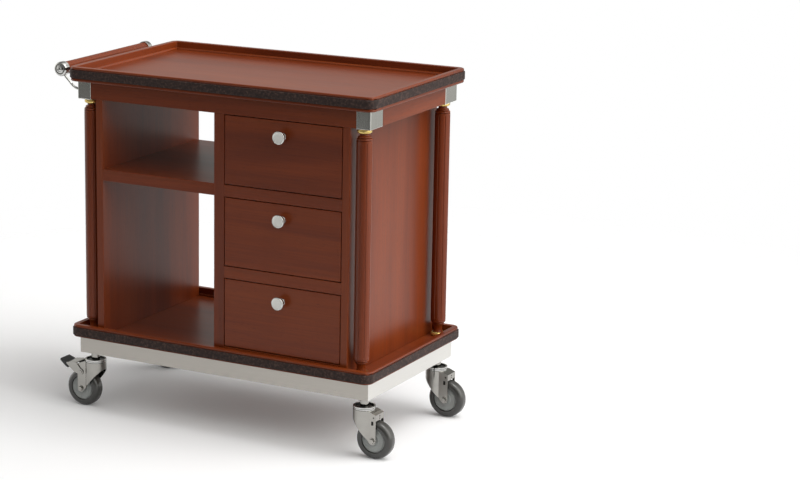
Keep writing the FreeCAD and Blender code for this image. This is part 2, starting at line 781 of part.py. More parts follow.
def hub():
    """Hub with raised rings on both faces, turned about the Y axis."""
    radii = [share * hub_radius for share in hub_ring_shares]
    low_face = hub_half - hub_relief
    half = [(axle_radius + run_gap, boss_half), (boss_radius, boss_half), (boss_radius, low_face),
            (radii[0], low_face), (radii[0], hub_half), (radii[1], hub_half), (radii[1], low_face),
            (radii[2], low_face), (radii[2], hub_half), (radii[3], hub_half), (radii[3], low_face),
            (hub_radius, low_face)]
    points = [vec(r, y, 0) for r, y in half] + [vec(r, -y, 0) for r, y in reversed(half)]
    return turned(polyline(points + points[:1]), along_y)


def tyre():
    """Tyre with flat sides and rounded shoulders, turned about the Y axis."""
    side_radius = wheel_radius - tyre_shoulder
    tread = tyre_half - tyre_shoulder
    bow = tyre_shoulder * math.sqrt(0.5)
    seat = hub_half - hub_relief
    arcs = [Part.Arc(vec(side_radius, sign * tyre_half, 0),
                     vec(side_radius + bow, sign * (tread + bow), 0),
                     vec(wheel_radius, sign * tread, 0)).toShape() for sign in (-1, 1)]
    edges = [arcs[0], arcs[1]]
    edges += polyline([vec(wheel_radius, -tread, 0), vec(wheel_radius, tread, 0)])
    edges += polyline([vec(side_radius, tyre_half, 0), vec(hub_radius + tyre_lip, tyre_half, 0),
                       vec(hub_radius, seat, 0), vec(hub_radius, -seat, 0),
                       vec(hub_radius + tyre_lip, -tyre_half, 0), vec(side_radius, -tyre_half, 0)])
    return turned(Part.__sortEdges__(edges), along_y)


def brake_lever():
    """Brake lever about the swivel axis: two side plates, a web behind the fork and a tongue for the tyre."""
    plates = []
    outline = [(lever_tip_x, lever_tip_low), (lever_tip_x, lever_tip_top), (lever_top_x, lever_top_z),
               (web_start_x, lever_top_z), (leg_slot_x - lever_end_radius, leg_slot_z),
               (leg_slot_x, leg_slot_z - lever_end_radius), (lever_waist_x, lever_waist_z)]
    for start, head_start in ((-lever_outer, -lever_outer - lever_pin_head), (lever_inner, lever_outer)):
        plate = outline_solid(outline, "y", start, lever_sheet)
        plate = plate.fuse(rod(vec(leg_slot_x, start, leg_slot_z), along_y, lever_end_radius, lever_sheet))
        plates.append(plate)
        plates.append(rod(vec(leg_slot_x, head_start, leg_slot_z), along_y, lever_pin_head_radius,
                          lever_pin_head))
    for start in (-lever_inner, leg_inner):
        plates.append(rod(vec(leg_slot_x, start, leg_slot_z), along_y, lever_pin_radius,
                          lever_inner - leg_inner))
    web = outline_solid([(web_start_x, lever_top_z), (lever_top_x, lever_top_z), (lever_tip_x, lever_tip_top),
                         (lever_tip_x, lever_tip_top - lever_sheet),
                         (lever_top_x, lever_top_z - lever_sheet), (web_start_x, lever_top_z - lever_sheet)],
                        "y", -lever_outer, 2 * lever_outer)
    angle = math.radians(half_turn - tongue_angle)
    end_reach = wheel_radius + tongue_gap
    end_x = caster_trail + end_reach * math.cos(angle)
    end_z = wheel_radius + end_reach * math.sin(angle)
    tongue_top_z = lever_tip_top - lever_sheet / 2
    tongue = outline_solid([(tongue_top_x, tongue_top_z), (tongue_top_x - lever_sheet, tongue_top_z),
                            (end_x - lever_sheet / 2, end_z + lever_sheet), (end_x, end_z),
                            (end_x + lever_sheet / 2, end_z + lever_sheet / 2)],
                           "y", -tongue_half, 2 * tongue_half)
    return plates[0].fuse(plates[1:] + [web, tongue]).removeSplitter()


def brake_pedal():
    """Moulded pedal over the tip of the lever, between its side plates."""
    outline = [(pedal_root_x, pedal_root_low), (pedal_heel_x, pedal_heel_z), (pedal_tip_x, pedal_tip_low),
               (pedal_tip_x - pedal_edge, pedal_tip_top), (lever_tip_x + lever_gap, lever_tip_top),
               (lever_tip_x + lever_gap, lever_tip_top - 2 * lever_sheet),
               (pedal_root_x, lever_tip_top - 2 * lever_sheet)]
    return outline_solid(outline, "y", -pedal_half, 2 * pedal_half)


def casters():
    wheel_pieces = {"caster_axle_": axle(), "caster_hub_": hub(), "caster_tyre_": tyre()}
    brake_pieces = {"brake_lever_": brake_lever(), "brake_pedal_": brake_pedal()}
    stems = []
    for place, (end, side) in corners.items():
        def seated(shape):
            copy = shape.copy()
            if end < 0:
                copy.rotate(centre, along_z, half_turn)
            return moved(copy, end * caster_x, side * caster_y)
        stems.append(seated(caster_stem()))
        save("caster_fork_" + place, seated(fork(end < 0)))
        for name, piece in wheel_pieces.items():
            save(name + place, seated(moved(piece, caster_trail, 0, wheel_radius)))
        if end < 0:
            for name, piece in brake_pieces.items():
                save(name + place, seated(piece))
    save("caster_stems", *stems)


def handle_cap():
    """End cap with a rounded shoulder and a domed disc inside a groove, its open end at z = 0, about Z."""
    bore = cap_radius - cap_wall
    inside = cap_length - (cap_half - grip_half) + play
    face = cap_length - cap_dome
    shoulder = face - cap_edge
    bow = cap_edge * math.sqrt(0.5)
    ring_radius_in = cap_disc_radius + cap_groove
    edges = polyline([vec(bore, 0, inside), vec(bore, 0, 0), vec(cap_radius, 0, 0), vec(cap_radius, 0, shoulder)])
    edges.append(Part.Arc(vec(cap_radius, 0, shoulder), vec(cap_radius - cap_edge + bow, 0, shoulder + bow),
                          vec(cap_radius - cap_edge, 0, face)).toShape())
    edges += polyline([vec(cap_radius - cap_edge, 0, face), vec(ring_radius_in, 0, face),
                       vec(ring_radius_in, 0, face - cap_groove), vec(cap_disc_radius, 0, face - cap_groove),
                       vec(cap_disc_radius, 0, face)])
    dome_radius = (cap_disc_radius ** 2 + cap_dome ** 2) / (2 * cap_dome)
    mid_r = cap_disc_radius / 2
    mid_z = cap_length - dome_radius + math.sqrt(dome_radius ** 2 - mid_r ** 2)
    edges.append(Part.Arc(vec(cap_disc_radius, 0, face), vec(mid_r, 0, mid_z), vec(0, 0, cap_length)).toShape())
    edges += polyline([vec(0, 0, cap_length), vec(0, 0, inside), vec(bore, 0, inside)])
    return turned(edges, along_z)


def rod_route(side):
    """Route of one handle rod: down from the cap on a slant, then level into the corner block."""
    y = side * rod_y
    slope = math.radians(rod_slope)
    tangent = rod_bend * math.tan(slope / 2)
    arc_start = vec(rod_bend_x - tangent * math.cos(slope), y, rod_z + tangent * math.sin(slope))
    arc_end = vec(rod_bend_x + tangent, y, rod_z)
    arc_mid = vec(arc_end.x - rod_bend * math.sin(slope / 2), y,
                  rod_z + rod_bend * (1 - math.cos(slope / 2)))
    top_run = (rod_bend_x - grip_x) / math.cos(slope) - tangent
    top = arc_start + vec(-math.cos(slope), 0, math.sin(slope)) * top_run
    return top, arc_start, arc_mid, arc_end, vec(rod_seat - face_x, y, rod_z)


def handle():
    """Fluted bar, its two caps and the two bent rods that carry it."""
    bar = rod(vec(0, 0, -grip_half), along_z, grip_radius, 2 * grip_half)
    bar = bar.cut(flute_cutters(grip_flutes, grip_radius, grip_flute_radius, grip_flute_depth,
                                -grip_half - overrun, grip_half + overrun, False))
    bar.rotate(centre, along_x, quarter_turn)
    save("handle_grip", moved(bar, grip_x, 0, grip_z))
    bore = rod(vec(grip_x, -cap_half, grip_z), along_y, cap_radius - cap_wall, 2 * cap_half)
    caps, rods = [], []
    for side in (-1, 1):
        cap = moved(handle_cap(), 0, 0, cap_half - cap_length)
        cap.rotate(centre, along_x, -side * quarter_turn)
        cap = moved(cap, grip_x, 0, grip_z)
        top, arc_start, arc_mid, arc_end, seat = rod_route(side)
        slant = arc_start - top
        cap = cap.cut(rod(top, slant, rod_radius + fit_gap, slant.Length))
        path = Part.Wire([Part.makeLine(top, arc_start), Part.Arc(arc_start, arc_mid, arc_end).toShape(),
                          Part.makeLine(arc_end, seat)])
        section = Part.Wire([Part.makeCircle(rod_radius, top, slant)])
        bent = path.makePipeShell([section], True, False)
        caps.append(cap)
        rods.append(bent.cut(bore).Solids[0])
    save("handle_caps", *caps)
    save("handle_rods", *rods)


os.makedirs("parts", exist_ok=True)
trays()
top_frame()
columns()
carcass()
drawers()
base_frame()
casters()
handle()
print("row shift along X", round(row_shift, 3))
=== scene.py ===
# %% [markdown]
# # A serving trolley in polished mahogany
# The trolley is already built as solids, each at its real place and size. This lesson dresses it: it polishes
# every board and softens its edges, turns the fluted columns, winds the soft band round both trays and plates
# the metal. The frame is loaded first, because every piece takes its place from it.

# %% Load the frame
import json
import math
import bmesh
import bpy
from mathutils import Matrix, Vector


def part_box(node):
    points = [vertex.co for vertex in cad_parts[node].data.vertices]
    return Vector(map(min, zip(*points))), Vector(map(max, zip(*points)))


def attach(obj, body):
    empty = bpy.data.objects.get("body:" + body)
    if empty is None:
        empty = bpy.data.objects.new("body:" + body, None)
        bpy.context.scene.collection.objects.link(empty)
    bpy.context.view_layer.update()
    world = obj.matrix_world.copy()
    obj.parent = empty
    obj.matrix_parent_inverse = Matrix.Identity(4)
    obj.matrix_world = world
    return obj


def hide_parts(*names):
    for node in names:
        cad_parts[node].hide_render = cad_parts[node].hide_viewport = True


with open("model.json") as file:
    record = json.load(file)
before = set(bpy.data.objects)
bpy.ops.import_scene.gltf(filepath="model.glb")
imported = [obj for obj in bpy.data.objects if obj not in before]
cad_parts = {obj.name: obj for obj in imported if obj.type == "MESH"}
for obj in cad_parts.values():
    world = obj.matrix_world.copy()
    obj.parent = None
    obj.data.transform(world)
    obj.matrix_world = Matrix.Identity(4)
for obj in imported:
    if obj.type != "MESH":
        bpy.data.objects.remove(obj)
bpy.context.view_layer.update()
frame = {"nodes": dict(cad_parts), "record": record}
mm = 0.001
body_of = {node: body for body, nodes in frame["record"]["behaviour"]["bodies"].items() for node in nodes}

# %% [markdown]
# ## The camera
# A product picture is taken from far away with a long lens, so that upright edges stay nearly upright. The
# object stands left of the middle because the lens is shifted, not the camera turned.

# %% Set up the camera
def new_object(name, data):
    made = bpy.data.objects.new(name, data)
    bpy.context.scene.collection.objects.link(made)
    return made


camera_place = Vector((2.861, -4.963, 1.793))
camera_target = Vector((-0.1574, 0.0, 0.4220))
camera_data = bpy.data.cameras.new("camera")
camera_data.lens = 111.0
camera_data.sensor_width = 36.0
camera_data.shift_x = 0.245
camera_data.shift_y = -0.0104
camera = new_object("camera", camera_data)
camera.location = camera_place
camera.rotation_euler = (camera_target - camera_place).to_track_quat("-Z", "Y").to_euler()
bpy.context.scene.camera = camera
bpy.context.scene.view_settings.view_transform = "Standard"
print("camera distance", round((camera_target - camera_place).length, 3), "m")

# %% [markdown]
# ## Helpers for nodes
# The world, the finishes and the shapes that follow a rule are all trees of nodes, and adding a node always
# takes the same steps: make it, choose its mode, then give each input a value or another node's output. One
# helper does that. The others write the nodes that are needed most: a sum, a change of range and a mix of
# two colours. The class Number lets a sum be written the way it is on paper.

# %% Write the node helpers
class Number:
    """A number in a tree of nodes, so that a rule can be written as a plain formula."""

    def __init__(self, tree, socket):
        self.tree, self.socket = tree, socket

    def calc(self, operation, *others):
        return math_node(self.tree, operation, self, *others)

    def __add__(self, other):
        return self.calc("ADD", other)

    def __sub__(self, other):
        return self.calc("SUBTRACT", other)

    def __mul__(self, other):
        return self.calc("MULTIPLY", other)

    def __truediv__(self, other):
        return self.calc("DIVIDE", other)


def feed(tree, node, inputs):
    """Gives each named input of a node a plain value or another node's output."""
    for name, value in inputs.items():
        value = value.socket if isinstance(value, Number) else value
        if isinstance(value, bpy.types.NodeSocket):
            tree.links.new(value, node.inputs[name])
        else:
            node.inputs[name].default_value = value


def add_node(tree, kind, inputs=None, **modes):
    """A new node with its modes chosen and its inputs fed; what comes back is its outputs."""
    node = tree.nodes.new(kind)
    for name, mode in modes.items():
        setattr(node, name, mode)
    feed(tree, node, inputs or {})
    return node.outputs


def math_node(tree, operation, *values):
    values = dict(enumerate(values))
    return Number(tree, add_node(tree, "ShaderNodeMath", values, operation=operation)["Value"])


def mapped(tree, value, from_low, from_high, to_low, to_high, curve="LINEAR"):
    """A value moved from one range to another."""
    ranges = {"From Min": from_low, "From Max": from_high, "To Min": to_low, "To Max": to_high}
    ranges["Value"] = value
    return Number(tree, add_node(tree, "ShaderNodeMapRange", ranges, interpolation_type=curve)["Result"])


def blend(tree, factor, first, second, mode="MIX"):
    """Two colours mixed, or multiplied, by a factor."""
    colors = {"Factor": factor, "A": first, "B": second}
    return add_node(tree, "ShaderNodeMix", colors, data_type="RGBA", blend_type=mode)["Result"]


def opaque(color):
    return (*color, 1.0)


print("node helpers ready")

# %% [markdown]
# ## Light and background
# Polished wood lives from what it mirrors. The surroundings are a ring of soft glows, each given by its
# compass direction, its height and its strength: bright to the right and the left, dim in front. So the side
# panels and the metal carry a veil while the front stays deep. The camera sees plain white, and Light Path
# tells the world which kind of ray is asking. Metal and polish that mirror the backdrop behind the trolley
# are shown some of that white as well.

# %% Light the room
glows = ((0.0, 12.0, 1.87), (45.0, 12.0, 0.887), (180.0, 12.0, 1.62), (0.0, 50.0, 2.60),
         (270.0, 50.0, 0.50), (45.0, -25.0, 0.104), (225.0, -25.0, 0.246))
glow_focus = 6.0
mirrored = ((121.0, 10.0, 0.49), (59.0, -8.0, 0.20))
glow_tint = (1.0, 0.99, 0.945)
white = (1.0, 1.0, 1.0)
lamps = {"key_lamp": (0.0, 62.0, 24.0, 1.3), "back_lamp": (90.0, 55.0, 8.0, 1.8),
         "front_lamp": (270.0, 60.0, 2.0, 1.8)}
lamp_distance = 3.2
lamp_aim = Vector((0.0, 0.0, 0.45))


def direction(azimuth, elevation):
    """The direction that a compass angle from +X and a height above the horizon stand for."""
    turn, rise = math.radians(azimuth), math.radians(elevation)
    return Vector((math.cos(turn) * math.cos(rise), math.sin(turn) * math.cos(rise), math.sin(rise)))


def glow(tree, looking, azimuth, elevation, strength):
    """A soft patch of light on the sky: full towards one direction and gone a quarter turn away."""
    pair = {0: looking, 1: direction(azimuth, elevation)}
    towards = add_node(tree, "ShaderNodeVectorMath", pair, operation="DOT_PRODUCT")
    facing = math_node(tree, "MAXIMUM", towards["Value"], 0.0)
    return facing.calc("POWER", glow_focus) * strength


def build_world():
    world = bpy.data.worlds.new("pale_studio")
    bpy.context.scene.world = world
    world.use_nodes = True
    tree = world.node_tree
    looking = add_node(tree, "ShaderNodeTexCoord")["Generated"]
    ray = add_node(tree, "ShaderNodeLightPath")
    shown = [glow(tree, looking, *place) for place in mirrored]
    level = (shown[0] + shown[1]) * ray["Is Glossy Ray"]
    for place in glows:
        level += glow(tree, looking, *place)
    warm = add_node(tree, "ShaderNodeVectorMath", {0: glow_tint, "Scale": level}, operation="SCALE")
    seen = math_node(tree, "MAXIMUM", ray["Is Camera Ray"], ray["Is Transmission Ray"])
    feed(tree, tree.nodes["Background"], {"Color": blend(tree, seen, warm["Vector"], opaque(white))})


def add_lamp(name, azimuth, elevation, power, size):
    data = bpy.data.lights.new(name, "AREA")
    data.shape = "SQUARE"
    data.size = size
    data.energy = power
    lamp = new_object(name, data)
    lamp.location = lamp_aim + direction(azimuth, elevation) * lamp_distance
    lamp.rotation_euler = (-direction(azimuth, elevation)).to_track_quat("-Z", "Y").to_euler()


build_world()
for name, place in lamps.items():
    add_lamp(name, *place)
print("glows", len(glows), "lamps", len(lamps))

# %% [markdown]
# ## The floor
# The floor is a pale disc that only has to carry the shadow. Close to the trolley it is a matt surface;
# further out it fades away, so no edge shows, but what the polish mirrors of it doesn't fade. To the camera
# it gets the rest of its white from its own colour, because more light would wash out the wood.

# %% Lay the floor
floor_radius = 3.4
fade_start = 1.1
fade_end = 2.4
floor_steps = 96
floor_seen = (0.965, 0.970, 1.0)
floor_bounce = (0.36, 0.36, 0.36)
floor_lift = 0.04


def floor_material():
    material = bpy.data.materials.new("pale_floor")
    material.use_nodes = True
    tree = material.node_tree
    tree.nodes.clear()
    ray = add_node(tree, "ShaderNodeLightPath")
    seen = math_node(tree, "MAXIMUM", ray["Is Camera Ray"], ray["Is Glossy Ray"])
    tone = blend(tree, seen, opaque(floor_bounce), opaque(floor_seen))
    matt = add_node(tree, "ShaderNodeBsdfDiffuse", {"Color": tone})
    strength = math_node(tree, "MULTIPLY", ray["Is Camera Ray"], floor_lift)
    lift = add_node(tree, "ShaderNodeEmission", {"Strength": strength})
    both = add_node(tree, "ShaderNodeAddShader", {0: matt["BSDF"], 1: lift["Emission"]})
    place = add_node(tree, "ShaderNodeTexCoord")["Object"]
    far = add_node(tree, "ShaderNodeVectorMath", {0: place}, operation="LENGTH")["Value"]
    fade = mapped(tree, far, fade_start, fade_end, 0.0, 1.0, "SMOOTHSTEP")
    unmirrored = math_node(tree, "SUBTRACT", 1.0, ray["Is Glossy Ray"])
    clear = add_node(tree, "ShaderNodeBsdfTransparent")
    layers = {"Fac": fade * unmirrored, 1: both["Shader"], 2: clear["BSDF"]}
    mix = add_node(tree, "ShaderNodeMixShader", layers)
    add_node(tree, "ShaderNodeOutputMaterial", {"Surface": mix["Shader"]})
    return material


def as_mesh(bm, name, *materials):
    mesh = bpy.data.meshes.new(name)
    bm.to_mesh(mesh)
    bm.free()
    for material in materials:
        mesh.materials.append(material)
    return mesh


disc = bmesh.new()
bmesh.ops.create_circle(disc, cap_ends=True, radius=floor_radius, segments=floor_steps)
new_object("floor", as_mesh(disc, "floor", floor_material()))
print("floor radius", floor_radius, "m")

# %% [markdown]
# ## Finishes: the helpers
# A finish is a small tree of nodes in front of one shader. Most start with a noise that is read in the
# piece's own coordinates, stretched along one direction. That is what grain, brushing and drawn metal have
# in common, so one helper makes it.

# %% Write the helpers for finishes
def new_finish(name, color, metallic, roughness):
    material = bpy.data.materials.new(name)
    material.use_nodes = True
    material.diffuse_color = opaque(color)
    tree = material.node_tree
    shader = tree.nodes["Principled BSDF"]
    feed(tree, shader, {"Base Color": opaque(color), "Metallic": metallic, "Roughness": roughness})
    return material, tree, shader


def stretched_noise(tree, scales, shift, detail, roughness=0.55, distortion=0.0):
    """Noise in object coordinates with its own scale along X, Y and Z, in patches per metre."""
    place = add_node(tree, "ShaderNodeTexCoord")["Object"]
    moved = add_node(tree, "ShaderNodeMapping", {"Vector": place, "Location": shift, "Scale": scales})
    return add_node(tree, "ShaderNodeTexNoise", {
        "Vector": moved["Vector"], "Scale": 1.0, "Detail": detail, "Roughness": roughness,
        "Distortion": distortion})["Fac"]


def along(axis, length_scale, cross_scale):
    """Scales for a pattern that runs along one axis."""
    return tuple(length_scale if name == axis else cross_scale for name in "xyz")


def even(scale):
    """Scales for a pattern that is alike in every direction."""
    return (scale, scale, scale)


def ramp(tree, value, stops):
    """Colours laid out over a value, as pairs of place and colour."""
    node = tree.nodes.new("ShaderNodeValToRGB")
    while len(node.color_ramp.elements) < len(stops):
        node.color_ramp.elements.new(0.5)
    for element, (place, color) in zip(node.color_ramp.elements, stops):
        element.position = place
        element.color = opaque(color)
    feed(tree, node, {"Fac": value})
    return node.outputs["Color"]


def spread(tree, value, low, high, start=0.3, end=0.7):
    """A noise value spread between two numbers."""
    return mapped(tree, value, start, end, low, high)


def multiply(tree, color, value):
    return blend(tree, 1.0, color, value, "MULTIPLY")


def toned(tree, value, color, low_share, high_share=1.0):
    """One colour that a noise value darkens or lightens by shares of itself."""
    return ramp(tree, value, [(place, tuple(part * share for part in color))
                              for place, share in ((0.3, low_share), (0.7, high_share))])


def bump(tree, height, strength, distance):
    """The normals of a surface that a noise value raises by up to a distance."""
    relief = {"Height": height, "Strength": strength, "Distance": distance}
    return add_node(tree, "ShaderNodeBump", relief)["Normal"]


print("finish helpers ready")

# %% [markdown]
# ## Mahogany under gloss
# Mahogany shows broad ribbons, fine fibres and short dark pores, all along the grain. Over it lies a clear
# polish: the shader's coat. The grain has to follow each board, upright on the side panels and columns,
# lengthwise on fronts and rails, so the finish is made once per direction. Each copy also starts at another
# place in the noise, so that boards side by side are not cut from one plank.

# %% Mix the polished wood
wood_dark = (0.1357, 0.0214, 0.0036)
wood_mid = (0.1964, 0.0332, 0.0056)
wood_light = (0.2357, 0.0443, 0.0079)
ribbon_scales = (1.1, 13.0)
fibre_scales = (6.0, 260.0)
pore_scales = (55.0, 900.0)
plank_shift = (7.3, 2.1, 4.7)
planks = 3


def polished_wood(name, axis, plank):
    material, tree, shader = new_finish(name, wood_mid, 0.0, 0.42)
    start = [step * plank for step in plank_shift]
    ribbon = stretched_noise(tree, along(axis, *ribbon_scales), start, 3.0, roughness=0.5, distortion=0.35)
    fibre = stretched_noise(tree, along(axis, *fibre_scales), start, 4.0, roughness=0.6)
    pore = stretched_noise(tree, along(axis, *pore_scales), start, 1.0, roughness=0.4)
    color = ramp(tree, ribbon, [(0.28, wood_dark), (0.50, wood_mid), (0.74, wood_light)])
    color = multiply(tree, color, spread(tree, fibre, 0.84, 1.10))
    color = multiply(tree, color, spread(tree, pore, 0.62, 1.0, start=0.26, end=0.36))
    feed(tree, shader, {
        "Base Color": color, "Roughness": spread(tree, fibre, 0.38, 0.50), "Specular IOR Level": 0.08,
        "Normal": bump(tree, fibre, 0.05, 0.2 * mm), "Coat Weight": 0.57, "Coat Roughness": 0.29,
        "Coat IOR": 1.45})
    return material


wood = {(axis, plank): polished_wood(f"mahogany_{axis}_{plank}", axis, plank + 1)
        for axis in "xyz" for plank in range(planks)}
print("planks of mahogany", len(wood))

# %% [markdown]
# ## Plywood and the soft band
# The drawers are pale plywood inside, with the grain from side to side. The band round the trays is soft
# and pebbled: a fine noise makes the pebbles and a coarser one mottles their colour.

# %% Mix the plywood and the band
plywood_dark = (0.37, 0.205, 0.085)
plywood_mid = (0.46, 0.27, 0.12)
plywood_light = (0.54, 0.34, 0.17)
plywood_scales = (3.0, 30.0)
band_mean = (0.040, 0.026, 0.023)
band_dark = (0.014, 0.007, 0.006)
band_mid = (0.036, 0.019, 0.016)
band_light = (0.090, 0.052, 0.044)
pebble_scale = 420.0
mottle_scale = 170.0


def inner_wood():
    material, tree, shader = new_finish("lacquered_plywood", plywood_mid, 0.0, 0.45)
    scales = along("x", *plywood_scales)
    figure = stretched_noise(tree, scales, (1.0, 2.0, 3.0), 4.0, roughness=0.6, distortion=0.4)
    color = ramp(tree, figure, [(0.25, plywood_dark), (0.5, plywood_mid), (0.8, plywood_light)])
    feed(tree, shader, {"Base Color": color, "Normal": bump(tree, figure, 0.08, 0.3 * mm)})
    return material


def band_finish():
    material, tree, shader = new_finish("pebbled_band", band_mean, 0.0, 0.6)
    pebble = stretched_noise(tree, even(pebble_scale), (0.0, 0.0, 0.0), 2.0, roughness=0.5)
    mottle = stretched_noise(tree, even(mottle_scale), (3.0, 1.0, 2.0), 3.0, roughness=0.65)
    color = ramp(tree, mottle, [(0.34, band_dark), (0.52, band_mid), (0.68, band_light)])
    feed(tree, shader, {
        "Base Color": multiply(tree, color, spread(tree, pebble, 0.72, 1.2)), "Specular IOR Level": 0.3,
        "Roughness": spread(tree, pebble, 0.5, 0.75), "Normal": bump(tree, pebble, 0.5, 0.6 * mm)})
    return material


plywood, pebbled_band = inner_wood(), band_finish()
print("finishes", plywood.name, pebbled_band.name)

# %% [markdown]
# ## Metals, rubber and plastic
# Brushed steel is the same stretched noise, put to work in the roughness and the bump more than in the
# colour. Plating is nearly even. Rubber and plastic have a fine grain, and the tyres a faint sheen over it.

# %% Mix the metals and the mouldings
brush_scales = (9.0, 900.0)
wave_scale = 60.0
grain_scale = 700.0
cloud_scale = 35.0


def brushed_metal(name, color, roughness, axis):
    material, tree, shader = new_finish(name, color, 1.0, roughness)
    stroke = stretched_noise(tree, along(axis, *brush_scales), (1.0, 4.0, 2.0), 3.0, roughness=0.6)
    feed(tree, shader, {
        "Base Color": toned(tree, stroke, color, 0.93), "Normal": bump(tree, stroke, 0.06, 0.1 * mm),
        "Roughness": spread(tree, stroke, roughness * 0.8, roughness * 1.25)})
    return material


def plated(name, color, roughness, wave=0.03, metal=1.0):
    """Smooth plating: nearly even, with the faint waviness of a polished casting."""
    material, tree, shader = new_finish(name, color, metal, roughness)
    cloud = stretched_noise(tree, even(wave_scale), (5.0, 1.0, 2.0), 3.0)
    feed(tree, shader, {
        "Base Color": toned(tree, cloud, color, 0.92), "Normal": bump(tree, cloud, wave, 0.4 * mm),
        "Roughness": spread(tree, cloud, roughness * 0.75, roughness * 1.4)})
    return material


def moulded(name, color, roughness, depth=0.12, sheen=0.0):
    """Plastic or rubber: a fine even grain and slightly uneven sheen."""
    material, tree, shader = new_finish(name, color, 0.0, roughness)
    grit = stretched_noise(tree, even(grain_scale), (2.0, 3.0, 1.0), 2.0)
    cloud = stretched_noise(tree, even(cloud_scale), (1.0, 1.0, 4.0), 3.0)
    feed(tree, shader, {
        "Base Color": toned(tree, cloud, color, 0.86, 1.1), "Normal": bump(tree, grit, depth, 0.3 * mm),
        "Roughness": spread(tree, grit, roughness * 0.85, roughness * 1.15), "Coat Weight": sheen,
        "Coat Roughness": 0.12, "Coat IOR": 1.7})
    return material


# The darker copy of the steel, for the frame's long sides and the sockets, is painted shade; the ends keep
# the lighter copy.
stainless = brushed_metal("brushed_stainless", (0.45, 0.425, 0.39), 0.34, "x")
stainless_across = brushed_metal("brushed_stainless_across", (0.76, 0.75, 0.72), 0.34, "y")
block_metal = brushed_metal("satin_block", (0.50, 0.50, 0.475), 0.12, "z")
brass = plated("polished_brass", (0.84, 0.62, 0.20), 0.20, metal=0.65)
chrome = plated("chrome", (0.60, 0.60, 0.585), 0.07)
zinc_steel = plated("bright_zinc", (0.39, 0.38, 0.355), 0.07, wave=0.12)
tyre_rubber = moulded("tyre_rubber", (0.036, 0.035, 0.032), 0.35, depth=0.05, sheen=0.38)
hub_plastic = moulded("hub_plastic", (0.45, 0.47, 0.465), 0.30)
pedal_plastic = moulded("pedal_plastic", (0.022, 0.023, 0.025), 0.45)
print("materials", len(bpy.data.materials))

# %% [markdown]
# ## Handing a piece over
# Every piece stands for one solid of the frame. It rides on that solid's body and hides it. One helper does
# both, so neither is forgotten.

# %% Write the helper that hands a piece over
round_angle = 35.0


def hand_over(piece, node):
    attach(piece, body_of[node])
    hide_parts(node)


def set_copy(node, shape, place):
    """A copy of a turned shape at its own place, handed over for the solid there."""
    mesh = shape.copy()
    mesh.transform(Matrix.Translation(place))
    hand_over(new_object(node + "_turned", mesh), node)
    return mesh


def evaluated(piece):
    """The piece as its modifiers leave it, as a plain mesh."""
    mesh = bpy.data.meshes.new_from_object(piece.evaluated_get(bpy.context.evaluated_depsgraph_get()))
    piece.modifiers.clear()
    return mesh


def smooth(mesh, sharp_angle=round_angle):
    """Round shading but over true edges, with the large faces leading, so that flats stay flat."""
    mesh.shade_smooth()
    mesh.set_sharp_from_angle(angle=math.radians(sharp_angle))
    holder = new_object(mesh.name + "_normals", mesh)
    weighted = holder.modifiers.new("large_faces_lead", "WEIGHTED_NORMAL")
    weighted.mode = "FACE_AREA"
    weighted.weight = 100
    weighted.keep_sharp = True
    plain = evaluated(holder)
    bpy.data.objects.remove(holder)
    plain.name = mesh.name
    return plain


print("hand over ready")

# %% [markdown]
# ## Boards with broken edges
# No joiner leaves an edge knife sharp. A solid from the frame arrives as loose triangles, so a copy is
# welded first, its flat faces are joined, and a narrow bevel then runs along every true edge, where it
# catches the light.

# %% Soften the boards
weld = 0.002 * mm
flat_angle = math.radians(0.6)
board_angle = 50.0
board_edge = 0.8 * mm
box_edge = 0.6 * mm
front_edge = 0.3 * mm
boards = {"tray_panel": ("x", 0), "base_panel": ("x", 1), "apron_front": ("x", 2), "apron_back": ("x", 1),
          "apron_left": ("y", 0), "apron_right": ("y", 1), "side_panel_left": ("z", 0),
          "side_panel_right": ("z", 1), "divider_panel": ("z", 2), "back_panel": ("z", 0),
          "bay_shelf": ("x", 0), "drawer_rails": ("x", 1)}
levels = ("bottom", "middle", "top")


def welded(node):
    bm = bmesh.new()
    bm.from_mesh(frame["nodes"][node].data)
    bmesh.ops.remove_doubles(bm, verts=bm.verts, dist=weld)
    bmesh.ops.dissolve_limit(bm, angle_limit=flat_angle, verts=bm.verts, edges=bm.edges)
    return bm


def softened(node, width, *materials, segments=2, angle=board_angle):
    """A welded copy of a solid with a small round along its edges, in place of the solid."""
    mesh = as_mesh(welded(node), node + "_finished", *materials)
    for face in mesh.polygons:
        face.material_index = 0
    piece = new_object(node + "_finished", mesh)
    if width:
        bevel = piece.modifiers.new("edges", "BEVEL")
        bevel.limit_method = "ANGLE"
        bevel.angle_limit = math.radians(angle)
        bevel.width = width
        bevel.segments = segments
        piece.data = evaluated(piece)
    piece.data = smooth(piece.data, board_angle if width else round_angle)
    hand_over(piece, node)
    return piece


for node, plank in boards.items():
    softened(node, board_edge, wood[plank])
softened("drawer_runners", box_edge, plywood)
for plank, level in enumerate(levels):
    softened("drawer_" + level + "_box", box_edge, plywood)
    softened("drawer_" + level + "_front", front_edge, wood["x", plank])
print("boards softened", len(boards))

# %% [markdown]
# ## Rims with mitred corners
# The rim of a tray is four mouldings that meet in a mitre. Each has its grain along its own length, so the
# faces are sorted by the moulding they belong to: a face nearer to the front or back edge than to an end
# runs along X.

# %% Finish the rims and their beads
rims = {"tray_rim": 0, "base_rim": 2, "rim_beads": 1}


def sort_by_rail(piece, node):
    low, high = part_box(node)
    middle, reach = (low + high) / 2, (high - low) / 2
    for face in piece.data.polygons:
        offset = face.center - middle
        face.material_index = 0 if reach.y - abs(offset.y) < reach.x - abs(offset.x) else 1


for node, plank in rims.items():
    sort_by_rail(softened(node, 0.0, wood["x", plank], wood["y", plank]), node)
print("rims finished", len(rims))

